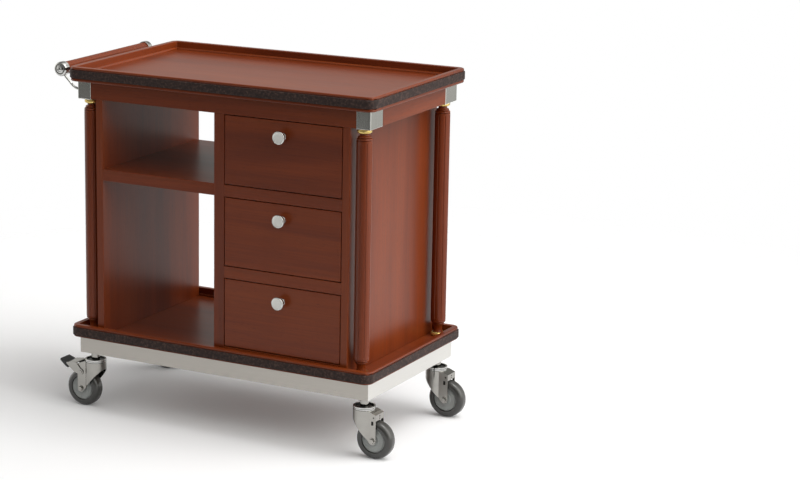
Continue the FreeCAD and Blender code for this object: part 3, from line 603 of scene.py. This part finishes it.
# %% [markdown]
# ## Shapes that follow a rule
# Geometry nodes make what a rule says better than a list of points. Each tree has named inputs for its
# sizes and ends by making its geometry real and setting its material. A modifier grows it on a small seed
# object, and the result is kept as a plain mesh.

# %% Write the helpers for shape trees
def shape_tree(name, kinds):
    """A tree with named inputs and a material, the identifiers of the inputs, and their outputs in it."""
    tree = bpy.data.node_groups.new(name, "GeometryNodeTree")
    tree.interface.new_socket(name="Geometry", in_out="OUTPUT", socket_type="NodeSocketGeometry")
    names = {}
    for label, kind in {**kinds, "Material": "Material"}.items():
        socket = tree.interface.new_socket(name=label, in_out="INPUT", socket_type="NodeSocket" + kind)
        names[label] = socket.identifier
    return tree, names, add_node(tree, "NodeGroupInput")


def finish_tree(tree, geometry, given):
    """Every tree ends the same way: real geometry with its material set."""
    real = add_node(tree, "GeometryNodeRealizeInstances", {"Geometry": geometry})
    paint = {"Geometry": real["Geometry"], "Material": given["Material"]}
    painted = add_node(tree, "GeometryNodeSetMaterial", paint)
    add_node(tree, "NodeGroupOutput", {"Geometry": painted["Geometry"]})


def grown(name, tree, names, values, base=None):
    """The mesh that a tree grows from its named inputs, as a plain mesh."""
    seed = new_object(name, base or bpy.data.meshes.new(name + "_seed"))
    grow = seed.modifiers.new("grow", "NODES")
    grow.node_group = tree
    for label, value in values.items():
        grow[names[label]] = value
    mesh = evaluated(seed)
    mesh.name = name
    bpy.data.objects.remove(seed)
    return mesh


def outward(mesh):
    bm = bmesh.new()
    bm.from_mesh(mesh)
    bmesh.ops.recalc_face_normals(bm, faces=bm.faces)
    bm.to_mesh(mesh)
    bm.free()


print("shape helpers ready")

# %% [markdown]
# ## The soft band
# The band that saves the walls is one strip with rounded edges, bent round four corners. A rule makes it: a
# rectangle with filleted corners is the path and a small rounded rectangle is the section. Curve to Mesh
# sweeps one along the other. The two ends of the strip on the base butt together in a fine seam.

# %% Wind the band round both trays
band_edge = 2.45 * mm
band_corner = 22.0 * mm
band_depth = 5.0 * mm
corner_steps = 10
edge_steps = 5
seam_x = 174.7 * mm
seam_width = 0.7 * mm
seam_depth = 0.8 * mm


def rounded_rectangle(tree, width, height, radius, steps):
    shape = add_node(tree, "GeometryNodeCurvePrimitiveQuadrilateral", {"Width": width, "Height": height})
    rounding = {"Curve": shape["Curve"], "Count": steps, "Radius": radius}
    return add_node(tree, "GeometryNodeFilletCurve", rounding, mode="POLY")["Curve"]


def band_tree():
    sizes = ("Length", "Width", "Corner", "Section height", "Section depth", "Section edge")
    kinds = {**dict.fromkeys(sizes, "Float"), "Centre": "Vector"}
    tree, names, given = shape_tree("band_round_a_tray", kinds)
    path = rounded_rectangle(tree, given["Length"], given["Width"], given["Corner"], corner_steps)
    across = [given["Section " + name] for name in ("depth", "height", "edge")]
    section = rounded_rectangle(tree, *across, edge_steps)
    sweep = add_node(tree, "GeometryNodeCurveToMesh", {"Curve": path, "Profile Curve": section})
    shift = {"Geometry": sweep["Mesh"], "Translation": given["Centre"]}
    moved = add_node(tree, "GeometryNodeTransform", shift)
    finish_tree(tree, moved["Geometry"], given)
    return tree, names


def cut_seam(mesh):
    """The fine groove where the two ends of the strip butt together, on the front."""
    bm = bmesh.new()
    bm.from_mesh(mesh)
    front = min(vert.co.y for vert in bm.verts) + band_depth
    for shift in (-seam_width, 0.0, seam_width):
        near = [face for face in bm.faces if face.calc_center_median().y < front]
        around = {item for face in near for item in (face, *face.edges, *face.verts)}
        bmesh.ops.bisect_plane(bm, geom=list(around), plane_co=(seam_x + shift, 0.0, 0.0),
                               plane_no=(1.0, 0.0, 0.0))
    loop = [vert for vert in bm.verts if abs(vert.co.x - seam_x) < weld and vert.co.y < front]
    middle = sum((vert.co for vert in loop), Vector()) / len(loop)
    for vert in loop:
        vert.co += (middle - vert.co).normalized() * seam_depth
    bm.to_mesh(mesh)
    bm.free()


band, band_inputs = band_tree()
for node in ("tray_bumper", "base_bumper"):
    low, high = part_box(node)
    size = high - low
    mesh = grown(node + "_band", band, band_inputs, {
        "Length": size.x - band_depth, "Width": size.y - band_depth, "Corner": band_corner - band_depth / 2,
        "Section height": size.z, "Section depth": band_depth, "Section edge": band_edge,
        "Centre": (low + high) / 2, "Material": pebbled_band})
    outward(mesh)
    if node == "base_bumper":
        cut_seam(mesh)
    mesh = smooth(mesh)
    hand_over(new_object(node + "_band", mesh), node)
    print(node, "faces", len(mesh.polygons))

# %% [markdown]
# ## Unrolling a fluted piece
# A turned piece is an outline spun about its axis. Laid flat, its skin is a grid: one row for each point of
# the outline, one column for each step round the piece. The columns are not evenly spaced: some fall exactly
# on the ridges between two flutes, so these stay crisp.

# %% Lay out the grid
ridge_steps = 8
hollow_steps = 8
flute_steps = ridge_steps + hollow_steps
half_hollow = hollow_steps / flute_steps / 2


def unrolled(tree, outline, flutes):
    """The flat grid, and for each of its points the flutes passed, the radius and the height."""
    rows = add_node(tree, "GeometryNodeAttributeDomainSize", {"Geometry": outline})["Point Count"]
    steps, height = flutes * flute_steps, Number(tree, rows) - 1.0
    sizes = {"Size X": steps, "Size Y": height, "Vertices X": steps + 1.0, "Vertices Y": rows}
    grid = add_node(tree, "GeometryNodeMeshGrid", sizes)["Mesh"]
    here = add_node(tree, "GeometryNodeInputPosition")["Position"]
    flat = add_node(tree, "ShaderNodeSeparateXYZ", {"Vector": here})
    row = (Number(tree, flat["Y"]) + height * 0.5).calc("ROUND")
    reading = {"Geometry": outline, "Value": here, "Index": row}
    point = add_node(tree, "GeometryNodeSampleIndex", reading, data_type="FLOAT_VECTOR")["Value"]
    spot = add_node(tree, "ShaderNodeSeparateXYZ", {"Vector": point})
    turns = (Number(tree, flat["X"]) + steps * 0.5) / flute_steps
    return grid, turns, Number(tree, spot["X"]), Number(tree, spot["Z"])


def flute_angles(tree, turns, ridge, pitch):
    """How far a point leans from the middle of its flute, and its whole angle round the piece."""
    number = (turns + 0.5).calc("FLOOR")
    local = turns - number
    offset = local.calc("ABSOLUTE")
    inside = mapped(tree, offset, 0.0, half_hollow, 0.0, ridge)
    beyond = mapped(tree, offset, half_hollow, 0.5, 0.0, pitch * 0.5 - ridge)
    lean = (inside + beyond) * local.calc("SIGN")
    return lean, number * pitch + lean


print("steps per flute", flute_steps)

# %% [markdown]
# ## Cutting the flutes
# Seen along the piece, the cutter is a small circle just outside the surface, and a point under it drops to
# where its own radius meets that circle. Near both ends of a flute the circle shrinks, which gives the flute
# its round nose.

# %% Build the fluting tree
merge_distance = 0.004 * mm


def fluting_tree():
    sizes = ("Body radius", "Cutter radius", "Depth", "Lowest flute", "Highest flute")
    kinds = {"Outline": "Geometry", "Flutes": "Int", **dict.fromkeys(sizes, "Float")}
    tree, names, given = shape_tree("fluted_turning", kinds)
    body, cutter, depth, lowest, highest = (Number(tree, given[size]) for size in sizes)
    grid, turns, radius, level = unrolled(tree, given["Outline"], Number(tree, given["Flutes"]))
    pitch = math_node(tree, "DIVIDE", math.tau, given["Flutes"])
    centre = body + cutter - depth
    cutter_square = cutter * cutter
    chord = (body * body + centre * centre - cutter_square) / (centre * 2.0)
    lean, angle = flute_angles(tree, turns, (chord / body).calc("ARCCOSINE"), pitch)
    past_end = (lowest - level).calc("MAXIMUM", level - highest).calc("MAXIMUM", 0.0)
    sideways = centre * lean.calc("SINE")
    room = cutter_square - past_end * past_end - sideways * sideways
    hollow = centre * lean.calc("COSINE") - room.calc("MAXIMUM", 0.0).calc("SQRT")
    choice = {"Factor": room.calc("GREATER_THAN", 0.0), "A": radius, "B": radius.calc("MINIMUM", hollow)}
    final = Number(tree, add_node(tree, "ShaderNodeMix", choice, data_type="FLOAT")["Result"])
    axes = {"X": final * angle.calc("COSINE"), "Y": final * angle.calc("SINE"), "Z": level}
    place = add_node(tree, "ShaderNodeCombineXYZ", axes)
    shape = add_node(tree, "GeometryNodeSetPosition", {"Geometry": grid, "Position": place["Vector"]})
    joining = {"Geometry": shape["Geometry"], "Distance": merge_distance}
    merged = add_node(tree, "GeometryNodeMergeByDistance", joining)
    finish_tree(tree, merged["Geometry"], given)
    return tree, names


fluting, fluting_inputs = fluting_tree()
print("fluting tree nodes", len(fluting.nodes))

# %% [markdown]
# ## Outlines for turning
# A turner thinks in beads, coves and flats. Here they are points of radius and height: a bead is a half
# circle, a cove a shallow arc, and the nose of a flute a quarter circle. The long shaft needs points only
# where the flutes begin and end.

# %% Write the turner's shapes
bead_steps = 8


def arc(centre_r, centre_z, radius, start, end, steps=6):
    """Points on an arc of an outline, with angles in degrees from the outward direction."""
    turns = [math.radians(start + (end - start) * step / steps) for step in range(steps + 1)]
    return [(centre_r + radius * math.cos(turn), centre_z + radius * math.sin(turn)) for turn in turns]


def turned_bead(low, high, outer):
    half = (high - low) / 2
    return arc(outer - half, low + half, half, -90, 90, bead_steps)


def turned_cove(low, high, inner, depth):
    half = (high - low) / 2
    radius = (half ** 2 + depth ** 2) / (2 * depth)
    sweep = math.degrees(math.asin(min(1.0, half / radius)))
    return arc(inner + radius, low + half, radius, 180 + sweep, 180 - sweep, bead_steps)


def nose_levels(end, towards, cutter):
    """Heights that follow the round nose of a flute, from its tip into the flute."""
    return [end + towards * cutter * math.cos(math.pi / 2 * step / bead_steps)
            for step in range(bead_steps + 1)]


def outline_mesh(name, points):
    """Points of radius and height as a mesh of edges in the XZ plane."""
    mesh = bpy.data.meshes.new(name)
    mesh.from_pydata([(radius, 0.0, level) for radius, level in points],
                     [(step, step + 1) for step in range(len(points) - 1)], [])
    return mesh


print("steps in a bead", bead_steps)

# %% [markdown]
# ## Turned and fluted columns
# From the foot up, a column has a brass ring, a neck with a cove, two beads, the fluted shaft, two beads
# again, a short neck and the upper ring. One column is turned, and copies of it, from three different
# planks, stand at the four corners.

# %% Turn the columns
column_radius = 18.0 * mm
column_flutes = 8
flute_cutter = 2.0 * mm
flute_depth = 1.0 * mm
flute_end_gap = 6.0 * mm
flute_angle = 32.0
neck_radius = 10.0 * mm
cove_depth = 2.4 * mm
head_neck = 6.5 * mm
foot_neck = 18.5 * mm
head_beads = ((5.2 * mm, 17.8 * mm), (5.0 * mm, 15.0 * mm))
foot_beads = ((5.3 * mm, 14.6 * mm), (5.5 * mm, 17.8 * mm))
ring_height = 10.0 * mm
tenon_radius = 8.0 * mm
corners = ("front_left", "front_right", "back_left", "back_right")
foot_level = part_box("base_panel")[1].z
head_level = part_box("corner_blocks")[0].z
column_low, column_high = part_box("column_front_left")


def column_outline():
    neck_low = foot_level + ring_height
    neck_high = head_level - ring_height
    points = [(0.0, column_low.z), (tenon_radius, column_low.z), (tenon_radius, neck_low)]
    level = neck_low + foot_neck
    points += turned_cove(neck_low, level, neck_radius, cove_depth)
    for height, radius in foot_beads:
        points += turned_bead(level, level + height, radius)
        level += height
    shaft_low = level
    shaft_high = neck_high - head_neck - sum(height for height, radius in head_beads)
    first, last = shaft_low + flute_end_gap, shaft_high - flute_end_gap
    noses = nose_levels(first, -1, flute_cutter) + nose_levels(last, 1, flute_cutter)[::-1]
    points += [(column_radius, height) for height in (shaft_low, *noses, shaft_high)]
    level = shaft_high
    for height, radius in head_beads:
        points += turned_bead(level, level + height, radius)
        level += height
    points += turned_cove(level, neck_high, neck_radius, cove_depth)
    points += [(tenon_radius, neck_high), (tenon_radius, column_high.z), (0.0, column_high.z)]
    return points, first, last


outline, first_flute, last_flute = column_outline()
column_mesh = grown("column", fluting, fluting_inputs, {
    "Flutes": column_flutes, "Body radius": column_radius, "Cutter radius": flute_cutter,
    "Depth": flute_depth, "Lowest flute": first_flute, "Highest flute": last_flute,
    "Material": wood["z", 0]}, outline_mesh("column_outline", outline))
outward(column_mesh)
column_mesh = smooth(column_mesh, flute_angle)
column_centres = []
for plank, corner in enumerate(corners):
    node = "column_" + corner
    low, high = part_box(node)
    middle = (low + high) / 2
    column_centres.append(middle)
    set_copy(node, column_mesh, (middle.x, middle.y, 0.0)).materials[0] = wood["z", plank % planks]
print("column faces", len(column_mesh.polygons))

# %% [markdown]
# ## Small turned metal
# Rings, knobs, caps and wheels are turned too, but without flutes. Here a plain loop builds the rings of
# points.

# %% Write the lathe
along_y = Matrix.Rotation(math.radians(-90.0), 4, "X")


def lathe(outline, steps=64):
    """A closed turned shape about Z from points of radius and height, from the low end to the high one."""
    bm = bmesh.new()
    rings = []
    for radius, level in outline:
        turns = [math.tau * step / steps for step in range(steps)] if radius >= weld else [0.0]
        radius = radius if radius >= weld else 0.0
        rings.append([bm.verts.new((radius * math.cos(turn), radius * math.sin(turn), level))
                      for turn in turns])
    for lower, upper in zip(rings, rings[1:]):
        for step in range(steps):
            after = (step + 1) % steps
            around = [lower[step % len(lower)], lower[after % len(lower)],
                      upper[after % len(upper)], upper[step % len(upper)]]
            unique = list(dict.fromkeys(around))
            if len(unique) > 2:
                bm.faces.new(unique)
    bmesh.ops.recalc_face_normals(bm, faces=bm.faces)
    return bm


def lathed(name, outline, material, steps=64, turn=None):
    mesh = as_mesh(lathe(outline, steps), name, material)
    if turn:
        mesh.transform(turn)
    return smooth(mesh)


print("lathe ready")

# %% [markdown]
# ## Brass rings
# Eight equal rings sit at the ends of the columns. One is turned, and a tree sets it on eight points, which
# is what Instance on Points is for.

# %% Turn the rings and set them
ring_radius = 17.0 * mm
ring_edge = 4.0 * mm
ring_bore = 8.1 * mm


def ring_outline():
    lower = arc(ring_radius - ring_edge, ring_edge, ring_edge, -90, 0)
    upper = arc(ring_radius - ring_edge, ring_height - ring_edge, ring_edge, 0, 90)
    return [(ring_bore, 0.0)] + lower + upper + [(ring_bore, ring_height), (ring_bore, 0.0)]


def set_on_points(name, mesh, points, material):
    """Copies of one small piece on a list of points, as one plain mesh."""
    tree, names, given = shape_tree("set_on_points", {"Points": "Geometry", "Piece": "Object"})
    piece = add_node(tree, "GeometryNodeObjectInfo", {"Object": given["Piece"]})
    setting = {"Points": given["Points"], "Instance": piece["Geometry"]}
    copies = add_node(tree, "GeometryNodeInstanceOnPoints", setting)
    finish_tree(tree, copies["Instances"], given)
    base = bpy.data.meshes.new(name + "_points")
    base.from_pydata(points, [], [])
    single = new_object(name + "_single", mesh)
    whole = grown(name, tree, names, {"Piece": single, "Material": material}, base)
    bpy.data.objects.remove(single)
    return whole


ring_points = [(centre.x, centre.y, level) for centre in column_centres
               for level in (foot_level, head_level - ring_height)]
single_ring = lathed("brass_ring", ring_outline(), brass)
rings = smooth(set_on_points("column_rings_turned", single_ring, ring_points, brass))
hand_over(new_object("column_rings_turned", rings), "column_rings")
print("rings", len(ring_points))

# %% [markdown]
# ## Knobs
# A mushroom knob: a small foot on the drawer, a waist, and a wide head whose flat face is slightly dished
# inside a rounded rim. The outline runs from the screw in the wood out to the face.

# %% Turn the knobs
knob_radius = 15.5 * mm
knob_rim = 6.5 * mm
knob_rim_edge = 2.6 * mm
knob_dish = 0.8 * mm
knob_dish_share = 0.85
knob_dish_start = 0.4 * mm
knob_dish_end = 0.8 * mm
knob_neck = 5.5 * mm
knob_neck_round = 2.4 * mm
knob_foot_radius = 9.5 * mm
knob_foot = 3.5 * mm
knob_foot_edge = 0.6 * mm
knob_foot_round = 1.0 * mm
knob_reach = 22.0 * mm
knob_steps = 72
spigot_radius = 3.0 * mm
spigot_length = 13.0 * mm
facing_front = 0.9


def knob_outline():
    back = knob_reach - knob_rim
    rim_centre = knob_reach - knob_rim_edge
    waist = knob_foot_radius - knob_neck - knob_foot_round
    shoulder = knob_radius - knob_rim_edge
    points = [(0.0, -spigot_length), (spigot_radius, -spigot_length), (spigot_radius, 0.0)]
    points += [(knob_foot_radius - knob_foot_edge, 0.0), (knob_foot_radius, knob_foot_edge)]
    points += arc(knob_foot_radius - knob_foot_round, knob_foot - knob_foot_round, knob_foot_round, 0, 90, 5)
    points += arc(knob_neck + waist, knob_foot + waist, waist, 270, 180)
    points += arc(knob_neck + knob_neck_round, back - knob_neck_round, knob_neck_round, 180, 90)
    points += arc(shoulder, rim_centre - knob_rim_edge / 2, knob_rim_edge, -90, 0)
    points += arc(shoulder, rim_centre, knob_rim_edge, 0, 90, 8)
    inner = shoulder - knob_rim_edge
    points += [(inner + knob_dish_start, knob_reach - knob_dish * knob_dish_share),
               (inner - knob_dish_end, knob_reach - knob_dish), (0.0, knob_reach - knob_dish)]
    return points


forward = Matrix.Rotation(math.radians(90.0), 4, "X")
knob_mesh = lathed("knob", knob_outline(), chrome, knob_steps, forward)
knob_mesh.materials.append(plated("satin_face", (0.85, 0.85, 0.82), 0.40, metal=0.4))
for face in knob_mesh.polygons:
    flat = face.normal.y < -facing_front and face.center.y < -knob_reach + 2 * knob_dish
    face.material_index = 1 if flat else 0
for level in levels:
    node = "drawer_" + level + "_knob"
    low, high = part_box(node)
    set_copy(node, knob_mesh, ((low.x + high.x) / 2, high.y - spigot_length, (low.z + high.z) / 2))
print("knob faces", len(knob_mesh.polygons))

# %% [markdown]
# ## Corner blocks and the steel frame
# The blocks are satin metal with bevels in a lighter copy of the metal, a painted highlight on the polished
# edges;
# the frame is folded stainless sheet. Both keep the solids' shape and get a fine edge. The frame's long sides
# are brushed along X and its ends along Y, and the long sides are a darker copy of the steel: painted shade.

# %% Finish the blocks and the frame
block_edge = 0.35 * mm
block_angle = 25.0
frame_edge = 0.6 * mm
socket_edge = 0.3 * mm
straight = 0.98
# The bevels take a lighter copy of the block metal: a painted highlight on the polished edges.
bevel_painted_highlight = plated("polished_bevel", (0.86, 0.86, 0.83), 0.12)
blocks = softened("corner_blocks", block_edge, block_metal, bevel_painted_highlight, angle=block_angle)
# Faces off the three main directions are the bevels, which get the painted highlight.
for face in blocks.data.polygons:
    face.material_index = 0 if max(abs(part) for part in face.normal) > straight else 1
# The long sides take the darker copy of the steel as painted shade, the ends the lighter one.
sort_by_rail(softened("base_frame", frame_edge, stainless, stainless_across), "base_frame")
softened("caster_sockets", socket_edge, stainless)
print("metalwork finished")

# %% [markdown]
# ## Wheels
# Hub and tyre are turned. The tyre is a rounded tread with a small lip where it grips the hub. The face of
# the hub carries a boss round the bore and two raised rings.

# %% Turn the wheels
wheel_radius = 45.0 * mm
tyre_half = 16.0 * mm
tyre_shoulder = 12.0 * mm
lip_inner = 1.0 * mm
lip_outer = 1.8 * mm
lip_drop = 0.9 * mm
hub_radius = 28.5 * mm
hub_half = 14.0 * mm
hub_relief = 1.4 * mm
hub_low_face = hub_half - hub_relief
hub_edge = 0.35 * mm
hub_ring_shares = ((0.40, 0.52), (0.86, 0.93))
boss_radius = 7.5 * mm
boss_half = 17.6 * mm
bore_radius = 4.05 * mm
wheel_steps = 96


def both_faces(face):
    """A closed outline from one face: mirrored to the low side, then up to the high side and back."""
    lower = [(radius, -level) for radius, level in face]
    return lower + list(reversed(face)) + lower[:1]


def tyre_outline():
    side = wheel_radius - tyre_shoulder
    tread = tyre_half - tyre_shoulder
    face = [(hub_radius, hub_low_face), (hub_radius + lip_inner, tyre_half - lip_drop),
            (hub_radius + lip_outer, tyre_half), (side, tyre_half)]
    return both_faces(face + arc(side, tread, tyre_shoulder, 90, 0, 12))


def hub_outline():
    face = [(bore_radius, boss_half), (boss_radius - hub_edge, boss_half),
            (boss_radius, boss_half - hub_edge), (boss_radius, hub_low_face)]
    for inner, outer in ((hub_radius * low, hub_radius * high) for low, high in hub_ring_shares):
        face += [(inner - hub_edge, hub_low_face), (inner, hub_half - hub_edge), (inner + hub_edge, hub_half),
                 (outer - hub_edge, hub_half), (outer, hub_half - hub_edge), (outer + hub_edge, hub_low_face)]
    return both_faces(face + [(hub_radius, hub_low_face)])


tyre_mesh = lathed("tyre", tyre_outline(), tyre_rubber, wheel_steps, along_y)
hub_mesh = lathed("hub", hub_outline(), hub_plastic, wheel_steps, along_y)
for corner in corners:
    for name, shape in (("caster_tyre_", tyre_mesh), ("caster_hub_", hub_mesh)):
        low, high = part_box(name + corner)
        set_copy(name + corner, shape, (low + high) / 2)
print("wheels turned", len(corners))

# %% [markdown]
# ## Casters
# Each caster is a pressed fork with a cup on top. The fork keeps the solid's shape with its sheet edges
# rounded. The bearing plate down in the cup, the cup's bore and its grooves are painted dark as shade, and
# the cup's wall between the grooves is brighter chrome, partly a painted highlight. The two casters on the
# left have a brake lever with a black pedal.

# %% Build the casters
sheet_edge = 0.4 * mm
sheet_angle = 38.0
pedal_edge = 1.2 * mm
cup_height = 8.0 * mm
cup_skin = 0.5 * mm
facing_up = 0.5
bearing_gap = 0.1 * mm
bearing_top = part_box("caster_fork_front_left")[1].z + bearing_gap
# A dark copy of the steel for the cup's bore, its grooves and the bearing plate in it: painted shade.
cup_shade = plated("greased_steel", (0.10, 0.10, 0.10), 0.35)


def sheet_metal(node, *more_materials):
    return softened(node, sheet_edge, zinc_steel, *more_materials, angle=sheet_angle)


def shade_cup(mesh, box):
    """Painted shade in the cup's bore and in the grooves round it, and a turned wall of brighter chrome
    between them, partly a painted highlight.
    """
    low, high = box
    top = [vert.co.x for vert in mesh.vertices if vert.co.z > high.z - cup_skin]
    centre = Vector(((min(top) + max(top)) / 2, (low.y + high.y) / 2, 0.0))
    outer = (high.y - low.y) / 2
    for face in mesh.polygons:
        reach = (face.center - centre).to_2d().length
        if face.center.z < high.z - cup_height or abs(face.normal.z) > facing_up:
            face.material_index = 0
        else:
            face.material_index = 1 if reach < outer - cup_skin else 2


for corner in corners:
    fork = sheet_metal("caster_fork_" + corner, cup_shade, chrome)
    shade_cup(fork.data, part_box("caster_fork_" + corner))
    sheet_metal("caster_axle_" + corner)
    if corner.endswith("left"):
        sheet_metal("brake_lever_" + corner)
        softened("brake_pedal_" + corner, pedal_edge, pedal_plastic, segments=3)
stems = sheet_metal("caster_stems", cup_shade)
# The bearing plate below the cup's top gets the painted shade.
for face in stems.data.polygons:
    face.material_index = 1 if face.center.z < bearing_top else 0
print("casters built", len(corners))

# %% [markdown]
# ## The push handle
# The grip is fluted like the columns, so the same tree makes it, laid along Y. Its flutes run out through
# both ends, which the caps hide.

# %% Flute the grip
grip_radius = 15.0 * mm
grip_flutes = 14
grip_cutter = 2.4 * mm
grip_flute_depth = 1.0 * mm
grip_overrun = 10.0 * mm
grip_low, grip_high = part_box("handle_grip")
grip_middle = (grip_low + grip_high) / 2
grip_half = (grip_high.y - grip_low.y) / 2
grip_outline = [(0.0, -grip_half), (grip_radius, -grip_half), (grip_radius, 0.0), (grip_radius, grip_half),
                (0.0, grip_half)]
grip_mesh = grown("grip", fluting, fluting_inputs, {
    "Flutes": grip_flutes, "Body radius": grip_radius, "Cutter radius": grip_cutter,
    "Depth": grip_flute_depth, "Lowest flute": -grip_half - grip_overrun,
    "Highest flute": grip_half + grip_overrun, "Material": wood["y", 2]},
    outline_mesh("grip_outline", grip_outline))
grip_mesh.transform(Matrix.Translation(grip_middle) @ along_y)
outward(grip_mesh)
grip_mesh = smooth(grip_mesh, flute_angle)
hand_over(new_object("handle_grip_turned", grip_mesh), "handle_grip")
print("grip faces", len(grip_mesh.polygons))

# %% [markdown]
# ## The handle's caps and rods
# A cap has a fine line near its mouth, a rounded edge, and a groove round a domed disc with one more shallow
# ring. The two rods keep the solids' shape.

# %% Turn the caps
cap_radius = 17.5 * mm
cap_bore = 15.2 * mm
cap_length = 20.0 * mm
cap_inside = 15.8 * mm
cap_mouth_edge = 0.5 * mm
cap_line = 2.8 * mm
cap_line_half = 0.4 * mm
cap_edge = 5.0 * mm
cap_disc = 9.3 * mm
cap_groove = 1.2 * mm
groove_shares = (0.8, 0.2)
cap_dome = 2.0 * mm
cap_ring = 5.2 * mm
cap_ring_half = 1.2 * mm
cap_ring_depth = 1.0 * mm
cap_steps = 72
dome_steps = 24


def cap_outline():
    face = cap_length - cap_dome
    dome_radius = (cap_disc ** 2 + cap_dome ** 2) / (2 * cap_dome)
    points = [(0.0, cap_inside), (cap_bore, cap_inside), (cap_bore, 0.0), (cap_radius - cap_mouth_edge, 0.0),
              (cap_radius, cap_mouth_edge), (cap_radius, cap_line - cap_line_half),
              (cap_radius - cap_mouth_edge, cap_line), (cap_radius, cap_line + cap_line_half)]
    points += arc(cap_radius - cap_edge, face - cap_edge, cap_edge, 0, 90, 10)
    points.append((cap_disc + cap_groove, face))
    points += [(cap_disc + cap_groove * share, face - cap_groove) for share in groove_shares]
    points.append((cap_disc, face))
    for step in range(1, dome_steps + 1):
        radius = cap_disc * (1 - step / dome_steps)
        dip = cap_ring_depth * max(0.0, 1.0 - abs(radius - cap_ring) / cap_ring_half)
        points.append((radius, cap_length - dome_radius + math.sqrt(dome_radius ** 2 - radius ** 2) - dip))
    return points


def handle_caps():
    low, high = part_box("handle_caps")
    bm = bmesh.new()
    for side, root in ((-1, low.y + cap_length), (1, high.y - cap_length)):
        turn = Matrix.Rotation(math.radians(-90.0 * side), 4, "X")
        mesh = as_mesh(lathe(cap_outline(), cap_steps), "cap", chrome)
        mesh.transform(Matrix.Translation((grip_middle.x, root, grip_middle.z)) @ turn)
        bm.from_mesh(mesh)
    return smooth(as_mesh(bm, "handle_caps_turned", chrome))


caps = handle_caps()
hand_over(new_object("handle_caps_turned", caps), "handle_caps")
softened("handle_rods", 0.0, chrome)
print("cap faces", len(caps.polygons))
